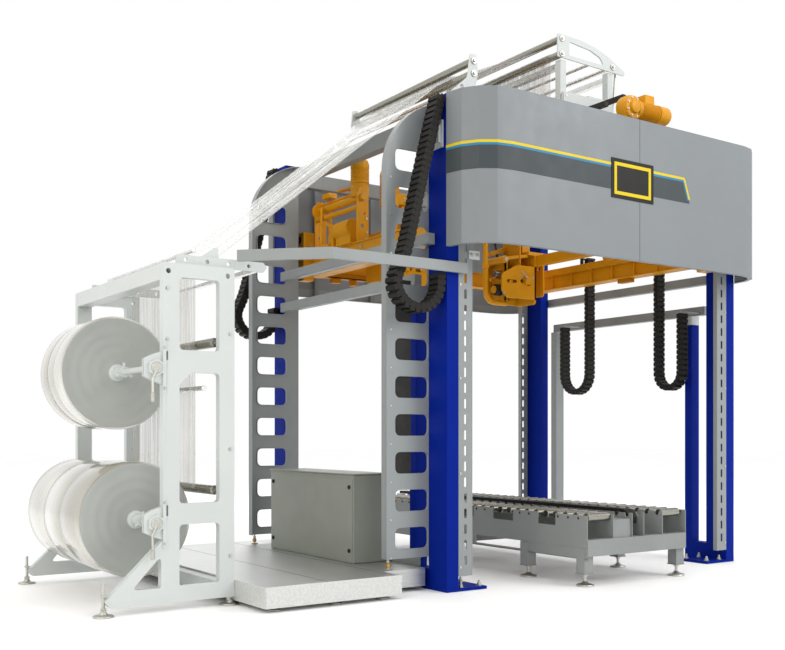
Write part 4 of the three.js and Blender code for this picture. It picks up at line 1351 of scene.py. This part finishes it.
for end, side, sx, sy in CORNERS:
    up = FRONT_UP if end == "front" else 0.0
    node = f"stretch_unit_{end}_{side}"
    unit = unit_turned(unit_body(up), up)
    unit.mirror(sx, sy)
    unit.done(f"{node}_detailed", f"unit_{end}_{side}", ["orange", "zinc", "roller", "dark"],
              "orange_enamel", 0.002, replaces=node)


# ---- energy chains ----
LINK_PITCH = 0.042


def chain_links(shape, path, width_axis, wide, thick):
    """Links along a path, each with two waisted side plates, two hinge pins, two cross bars and a core."""
    across = Vector(width_axis)
    points = [Vector(p) for p in path]
    spans = [(b - a).length for a, b in zip(points, points[1:])]
    total = sum(spans)
    count = round(total / LINK_PITCH)
    pitch = total / count

    def place(s):
        k = 0
        while k < len(spans) - 1 and s > spans[k]:
            s -= spans[k]
            k += 1
        return points[k].lerp(points[k + 1], min(1, s / spans[k]))

    for i in range(count):
        a, b = place(i * pitch), place((i + 1) * pitch)
        centre = (a + b) / 2
        along = (b - a).normalized()
        up = along.cross(across).normalized()
        for s in (-1, 1):
            edge = centre + across * s * (wide / 2 - 0.006)
            shape.brick(edge, along, up, (pitch * 0.46, 0.006, thick / 2 - 0.003))
            shape.brick(edge + across * s * 0.002, along, up, (pitch * 0.30, 0.005, thick / 2))
            pin = a + across * s * (wide / 2 + 0.0005)
            shape.rod(pin - across * s * 0.003, pin + across * s * 0.0015, thick * 0.16, 10)
        for v in (-1, 1):
            bar = centre + up * v * (thick / 2 - 0.005)
            shape.brick(bar, along, up, (pitch * 0.30, wide / 2 - 0.008, 0.004))
        shape.brick(centre, along, up, (pitch * 0.49, wide / 2 - 0.013, thick / 2 - 0.011))


def arc_3d(plane, cu, cv, r, start, stop, steps, t):
    """Places on a circle that lies in a plane, at the distance t across it."""
    return [PLANES[plane](u, v, t) for u, v in arc(cu, cv, r, start, stop, steps)]


LEFT_CHAIN_Y, LEFT_CHAIN_WIDE, LEFT_CHAIN_THICK = 1.143, 0.104, 0.064
for end, sy in ENDS.items():
    node = f"energy_chain_left_{end}"
    y = LEFT_CHAIN_Y
    falling = smooth_line([(-1.515, y, 3.258), (-1.574, y, 3.036), (-1.684, y, 2.611), (-1.779, y, 2.236),
                           (-1.866, y, 2.030)], 6)
    loop = arc_3d("XZ", -1.690, 2.030, 0.176, 180, 360, 18, y)
    shape = Shape()
    path = [*falling, *loop[1:], (-1.514, y, 2.098)]
    chain_links(shape, path, (0, 1, 0), LEFT_CHAIN_WIDE, LEFT_CHAIN_THICK)
    shape.mirror(1, sy)
    shape.done(f"{node}_links", "frame", "chain", "black_chain", 0, replaces=node)

# Each right chain is two legs. As the lift drops, the moving leg gets shorter and the fixed leg longer.
RIGHT_CHAIN_X, RIGHT_CHAIN_WIDE, RIGHT_CHAIN_THICK = 1.285, 0.088, 0.048
CHAIN_TOP, CHAIN_FIXED, CHAIN_BOTTOM = 2.640, 2.050, 1.430
LOOP_SHARE = 0.637
for end, y_move, y_fix in (("front", -0.585, -0.832), ("rear", 0.237, 0.558)):
    node = f"energy_chain_right_{end}"
    r = abs(y_fix - y_move) / 2
    centre = ((y_fix + y_move) / 2, CHAIN_BOTTOM + r)
    start = 0 if y_move > y_fix else 180
    towards = -90 if start == 0 else 270
    stop = -180 if start == 0 else 360
    to_bottom = arc_3d("YZ", *centre, r, start, towards, 10, RIGHT_CHAIN_X)
    to_fixed = arc_3d("YZ", *centre, r, towards, stop, 10, RIGHT_CHAIN_X)
    moving = Shape()
    path = [(RIGHT_CHAIN_X, y_move, CHAIN_TOP), *to_bottom]
    chain_links(moving, path, (1, 0, 0), RIGHT_CHAIN_WIDE, RIGHT_CHAIN_THICK)
    fall = (CHAIN_TOP - CHAIN_BOTTOM) / (1 - LOOP_SHARE)
    low_end = (CENTRE.x, CENTRE.y, CHAIN_TOP - fall)
    high_end = (CENTRE.x, CENTRE.y, CHAIN_TOP)
    moving.done(f"{node}_moving_leg", None, "chain", "black_chain", 0, replaces=node,
                blend=("frame", "lift", low_end, high_end))
    fixed = Shape()
    path = [*to_fixed, (RIGHT_CHAIN_X, y_fix, CHAIN_FIXED)]
    chain_links(fixed, path, (1, 0, 0), RIGHT_CHAIN_WIDE, RIGHT_CHAIN_THICK)
    hang = (CHAIN_FIXED - CHAIN_BOTTOM) / LOOP_SHARE
    hung_from = (CENTRE.x, CENTRE.y, CHAIN_FIXED)
    hung_to = (CENTRE.x, CENTRE.y, CHAIN_FIXED - hang)
    fixed.done(f"{node}_fixed_leg", None, "chain", "black_chain", 0,
               blend=("frame", "lift", hung_from, hung_to))
    cap = Shape()
    x, y = RIGHT_CHAIN_X, y_move
    cap.box(x - 0.047, x + 0.047, y - 0.028, y + 0.028, CHAIN_TOP, CHAIN_TOP + 0.020)
    cap.box(1.182, x + 0.02, y - 0.020, y + 0.020, CHAIN_TOP + 0.004, CHAIN_TOP + 0.012)
    cap.box(1.182, 1.190, y - 0.020, y + 0.020, 2.560, CHAIN_TOP + 0.012)
    cap.done(f"chain_cap_{end}", "lift", "dark", "black_chain", 0.002)
    hook = Shape()
    y = y_fix
    hook.box(x - 0.040, x + 0.040, y - 0.026, y + 0.026, CHAIN_FIXED, CHAIN_FIXED + 0.010)
    hook.box(x - 0.040, 1.484, y - 0.020, y + 0.020, CHAIN_FIXED + 0.010, CHAIN_FIXED + 0.018)
    hook.done(f"chain_hook_{end}", "frame", "grey", "grey_enamel", 0.0015)


# ---- conveyor ----
CONV_X0, CONV_X1, CONV_Y0, CONV_Y1 = -0.549, 0.461, -1.550, 1.350
BEAM_FLOOR, BEAM_ROOF, PLATE_TOP = 0.206, 0.320, 0.486
ROLLER_Z, ROLLER_R, SHAFT_R = 0.470, 0.030, 0.010
LANES = [(-0.512, -0.302), (0.220, 0.416)]
TURNING_ROLLERS = [-1.3, -0.7, -0.1, 0.5, 1.1]
ALL_ROLLERS = [round(-1.5 + 0.1 * k, 3) for k in range(28)]
NOTCHES = [(-1.240, -1.060), (-0.790, -0.560), (-0.330, -0.120)]
NOTCH_DEPTH, DIP_HALF, DIP_DEPTH = 0.085, 0.020, 0.032


def conveyor_plate(shape, x0, x1, low, notches=(), holes=(), dips=True):
    """A lengthwise plate whose top edge may dip at every roller and steps down at the notches."""
    edge = [(CONV_Y0, PLATE_TOP)]
    marks = [(y, None) for y in ALL_ROLLERS if dips]
    marks += notches
    for a, b in sorted(marks, key=lambda mark: mark[0]):
        if b is None:
            edge += [(a - DIP_HALF, PLATE_TOP), (a - DIP_HALF * 0.7, PLATE_TOP - DIP_DEPTH * 0.7),
                     (a, PLATE_TOP - DIP_DEPTH), (a + DIP_HALF * 0.7, PLATE_TOP - DIP_DEPTH * 0.7),
                     (a + DIP_HALF, PLATE_TOP)]
        else:
            floor_z = PLATE_TOP - NOTCH_DEPTH
            edge += [(a, PLATE_TOP), (a, floor_z), (b, floor_z), (b, PLATE_TOP)]
    edge += [(CONV_Y1, PLATE_TOP), (CONV_Y1, low), (CONV_Y0, low)]
    shape.plate("YZ", edge, x0, x1, holes)


conveyor = Shape()
window = [rectangle(-0.930, -0.360, 0.204, 0.262, 0.006)]
conveyor_plate(conveyor, CONV_X0, CONV_X0 + 0.006, 0.186, NOTCHES, window, dips=False)
conveyor.box(CONV_X0, CONV_X0 + 0.034, CONV_Y0, CONV_Y1, 0.186, 0.192)
for y0, y1 in ((CONV_Y0, -0.960), (-0.330, CONV_Y1)):
    conveyor.box(CONV_X0 - 0.002, CONV_X0, y0 + 0.002, y1, 0.190, 0.262)
conveyor_plate(conveyor, CONV_X1 - 0.006, CONV_X1, BEAM_FLOOR, dips=False)
conveyor.box(CONV_X1 - 0.036, CONV_X1, CONV_Y0, CONV_Y1, BEAM_FLOOR, BEAM_FLOOR + 0.006)
for x0, x1 in ((-0.298, -0.292), (-0.109, -0.103), (0.010, 0.016), (0.204, 0.210)):
    conveyor_plate(conveyor, x0, x1, BEAM_FLOOR + 0.040)
conveyor.box(-0.291, -0.110, CONV_Y0 + 0.012, CONV_Y0 + 0.400, 0.270, 0.446)
for y in (CONV_Y0, -0.950, -0.300, 0.350, CONV_Y1 - 0.060):
    conveyor.box(CONV_X0 + 0.003, CONV_X1 - 0.003, y - 0.004, y + 0.064, BEAM_FLOOR, BEAM_ROOF)
for x in (CONV_X0, CONV_X1 - 0.075):
    for y in (CONV_Y0 + 0.020, -0.956, CONV_Y1 - 0.100):
        conveyor.box(x - 0.005, x + 0.077, y, y + 0.080, 0.083, BEAM_ROOF - 0.060)
        conveyor.box(x - 0.009, x + 0.081, y - 0.004, y + 0.084, 0.083, 0.089)
        foot = (x + 0.040, y + 0.040)
        dish = [(0, 0.060), (0.006, 0.062), (0.012, 0.058), (0.022, 0.026), (0.030, 0.018), (0.034, 0.012)]
        conveyor.paint(1).lathe((*foot, 0.0), (*foot, 0.034), dish, 28)
        conveyor.rod((*foot, 0.030), (*foot, 0.086), 0.011, 14)
        conveyor.rod((*foot, 0.068), (*foot, 0.082), 0.020, 6).paint(0)
conveyor.paint(2)
for y in ALL_ROLLERS:
    if not any(a - 0.02 < y < b + 0.02 for a, b in NOTCHES):
        conveyor.bolt((CONV_X0, y + 0.035, PLATE_TOP - 0.022), (-1, 0, 0), 0.006, 0.004)
    conveyor.bolt((CONV_X1, y + 0.035, PLATE_TOP - 0.022), (1, 0, 0), 0.006, 0.004)
conveyor.done("conveyor_frame_detailed", "frame", ["conveyor", "zinc", "dark"], "conveyor_enamel", 0.001,
              replaces="conveyor_frame")


def conveyor_roller(shape, y):
    """A roller's two short barrels, one in each lane, with dark end plugs."""
    for x0, x1 in LANES:
        shape.paint(0).rod((x0, y, ROLLER_Z), (x1, y, ROLLER_Z), ROLLER_R, 26, 0.003)
        shape.paint(1).rod((x0 - 0.001, y, ROLLER_Z), (x1 + 0.001, y, ROLLER_Z), 0.020, 18)
    return shape


fixed_rollers = Shape()
for y in ALL_ROLLERS:
    if y not in TURNING_ROLLERS:
        conveyor_roller(fixed_rollers, y)
        for x0, x1 in ((-0.541, -0.302), (-0.302, -0.285), (0.200, 0.457)):
            fixed_rollers.rod((x0, y, ROLLER_Z), (x1, y, ROLLER_Z), SHAFT_R - 0.001, 12)
fixed_rollers.done("conveyor_rollers_fixed", "frame", ["roller", "dark"], "roller_steel", 0)
for number, y in enumerate(TURNING_ROLLERS, 1):
    turned = conveyor_roller(Shape(), y)
    turned.rod((LANES[0][0], y, ROLLER_Z), (LANES[1][1], y, ROLLER_Z), SHAFT_R, 14)
    turned.done(f"conveyor_roller_{number}_turned", f"conveyor_roller_{number}_body", ["roller", "dark"],
                "roller_steel", 0, replaces=f"conveyor_roller_{number}")
dress("conveyor_chain", "chain", 0.001)


# ---- drive of the spread beams, on the lift's left beam ----
DRIVE_X, SHAFT_Z = 1.150, 2.930
drive = Shape()
bearing_plate = rounded([(1.092, 2.572), (1.200, 2.572), (1.200, 2.960), (1.172, 3.010), (1.128, 3.010),
                         (1.092, 2.960)], 0.012)
for y in (0.330, 0.990):
    drive.plate("XZ", bearing_plate, y, y + 0.012,
                [disc(DRIVE_X, 2.700, 0.018), disc(DRIVE_X - 0.02, 2.800, 0.012)])
drive.rod((DRIVE_X, 0.300, SHAFT_Z), (DRIVE_X, 1.030, SHAFT_Z), 0.030, 24, 0.003)
drive.rod((DRIVE_X + 0.030, 0.342, 2.850), (DRIVE_X + 0.030, 0.990, 2.850), 0.020, 20)
drive.rod((DRIVE_X - 0.030, 0.342, 2.985), (DRIVE_X - 0.030, 0.990, 2.985), 0.014, 16)
drive.rod((DRIVE_X, 1.002, SHAFT_Z), (DRIVE_X, 1.036, SHAFT_Z), 0.062, 28, 0.004)
drive.box(1.100, 1.180, 0.800, 0.910, 3.012, 3.052)
drive.box(1.104, 1.196, 0.700, 0.780, 2.572, 2.690)
drive.box(1.130, 1.210, 0.420, 0.640, 2.572, 2.740)
drive.rod((1.170, 0.430, 2.700), (1.170, 0.650, 2.700), 0.074, 28, 0.004)
drive.brick((DRIVE_X - 0.02, 0.560, 3.040), (0, 1, 0.06), (0, -0.06, 1), (0.150, 0.030, 0.006))
bell = [(0, 0.050), (0.010, 0.074), (0.090, 0.076), (0.098, 0.066), (0.112, 0.066), (0.120, 0.076)]
bell += bell_ribs(0.134, 6, 0.076, 0.071)
bell += [(0.270, 0.076), (0.300, 0.066), (0.312, 0.020)]
drive.lathe((1.130, 0.400, 2.930), (1.130, 0.400, 3.242), bell, 34)
inner_bar = [(1.070, 0.960, 2.960), (1.066, 0.965, 2.640), (1.064, 0.930, 2.596), (1.064, 0.800, 2.592)]
drive.tube(smooth_line(inner_bar, 8), 0.015, 16)
outer_bar = [(1.212, 0.860, 2.930), (1.214, 0.865, 2.650), (1.214, 0.830, 2.606), (1.214, 0.740, 2.600)]
drive.tube(smooth_line(outer_bar, 8), 0.013, 16)
drive.brick((1.212, 0.720, 2.760), (0, 1, 0.35), (0, -0.35, 1), (0.130, 0.008, 0.012))
drive.paint(1)
for y in (0.3285, 1.0035):
    for z in (2.600, 2.650, 2.760):
        drive.bolt((1.112, y, z), (0, -1 if y < 0.5 else 1, 0), 0.007, 0.005)
for x, z in arc(DRIVE_X, SHAFT_Z, 0.045, 0, 300, 5):
    drive.bolt((x, 1.036, z), (0, 1, 0), 0.005, 0.004)
drive.mirror(-1, 1)
drive.done("spread_drive", "lift", ["orange", "zinc"], "orange_enamel", 0.0015)

under = Shape()
under.box(-1.060, -0.640, 1.046, 1.130, 2.388, 2.400)
under.box(-1.060, -0.640, 1.046, 1.052, 2.388, 2.436)
under.box(-0.980, -0.900, 1.060, 1.120, 2.350, 2.388)
under.rod((-0.760, 1.090, 2.340), (-0.760, 1.090, 2.388), 0.034, 22, 0.003)
under.rod((1.130, -0.350, 2.3885), (1.130, -0.350, 2.350), 0.030, 20, 0.003)
under.box(1.100, 1.160, -0.420, -0.280, 2.352, 2.3895)
under.done("lift_lower_brackets", "lift", "orange_deep", "orange_enamel", 0.0015)


# ---- small brackets, ducts and plates on the columns ----
fittings = Shape()
fittings.box(-1.492, -1.4785, -1.165, -1.060, 2.930, 3.110)
fittings.box(-1.510, -1.492, -1.150, -1.075, 2.960, 3.080)
fittings.box(-1.300, -1.210, -1.2105, -1.2035, 2.205, 2.262)
fittings.box(1.478, 1.492, -1.180, -1.060, 2.180, 2.330)
fittings.box(1.492, 1.520, -1.150, -1.090, 2.200, 2.310)
top_bracket = [(1.060, 3.280), (1.420, 3.280), (1.420, 3.375), (1.330, 3.385), (1.270, 3.352), (1.080, 3.318)]
fittings.plate("XZ", top_bracket, -1.196, -1.188)
fittings.box(1.060, 1.420, -1.196, -1.110, 3.2760, 3.282)
fittings.box(1.412, 1.420, -1.196, -1.110, 3.280, 3.375)
fittings.paint(1)
for x, z in ((-1.280, 2.234), (-1.230, 2.234)):
    fittings.bolt((x, -1.2105, z), (0, -1, 0), 0.010, 0.006)
for z in (3.000, 3.050):
    fittings.bolt((-1.510, -1.112, z), (-1, 0, 0), 0.009, 0.006)
fittings.bolt((1.370, -1.196, 3.330), (0, -1, 0), 0.016, 0.006)
fittings.paint(2)
fittings.box(1.300, 1.330, -1.180, -1.130, 3.276, 3.300)
fittings.done("column_fittings", "frame", ["white", "zinc", "yellow"], "grey_enamel", 0.001)

# The rear right outer post is pale, and so is the top of the front one, unlike the columns beside them.
POST_LEFT, POST_RIGHT, POST_NEAR, POST_FAR, POST_TOP = 1.3812, 1.4788, 0.7792, 0.8508, 2.0312
sleeve = Shape().box(POST_LEFT, POST_RIGHT, POST_NEAR, POST_FAR, 0.030, POST_TOP)
sleeve.done("pale_post_rear_right", "frame", "grey", "grey_enamel", 0.0005)
post_cap = Shape().box(POST_LEFT, POST_RIGHT, -POST_FAR, -POST_NEAR, 1.960, POST_TOP)
post_cap.done("pale_post_cap_front_right", "frame", "white", "grey_enamel", 0.0005)

duct = Shape().box(-1.735, -1.615, -0.986, -0.946, 0.700, 2.060)
duct.done("cable_ducts", "frame", "dark", "black_chain", 0.001)
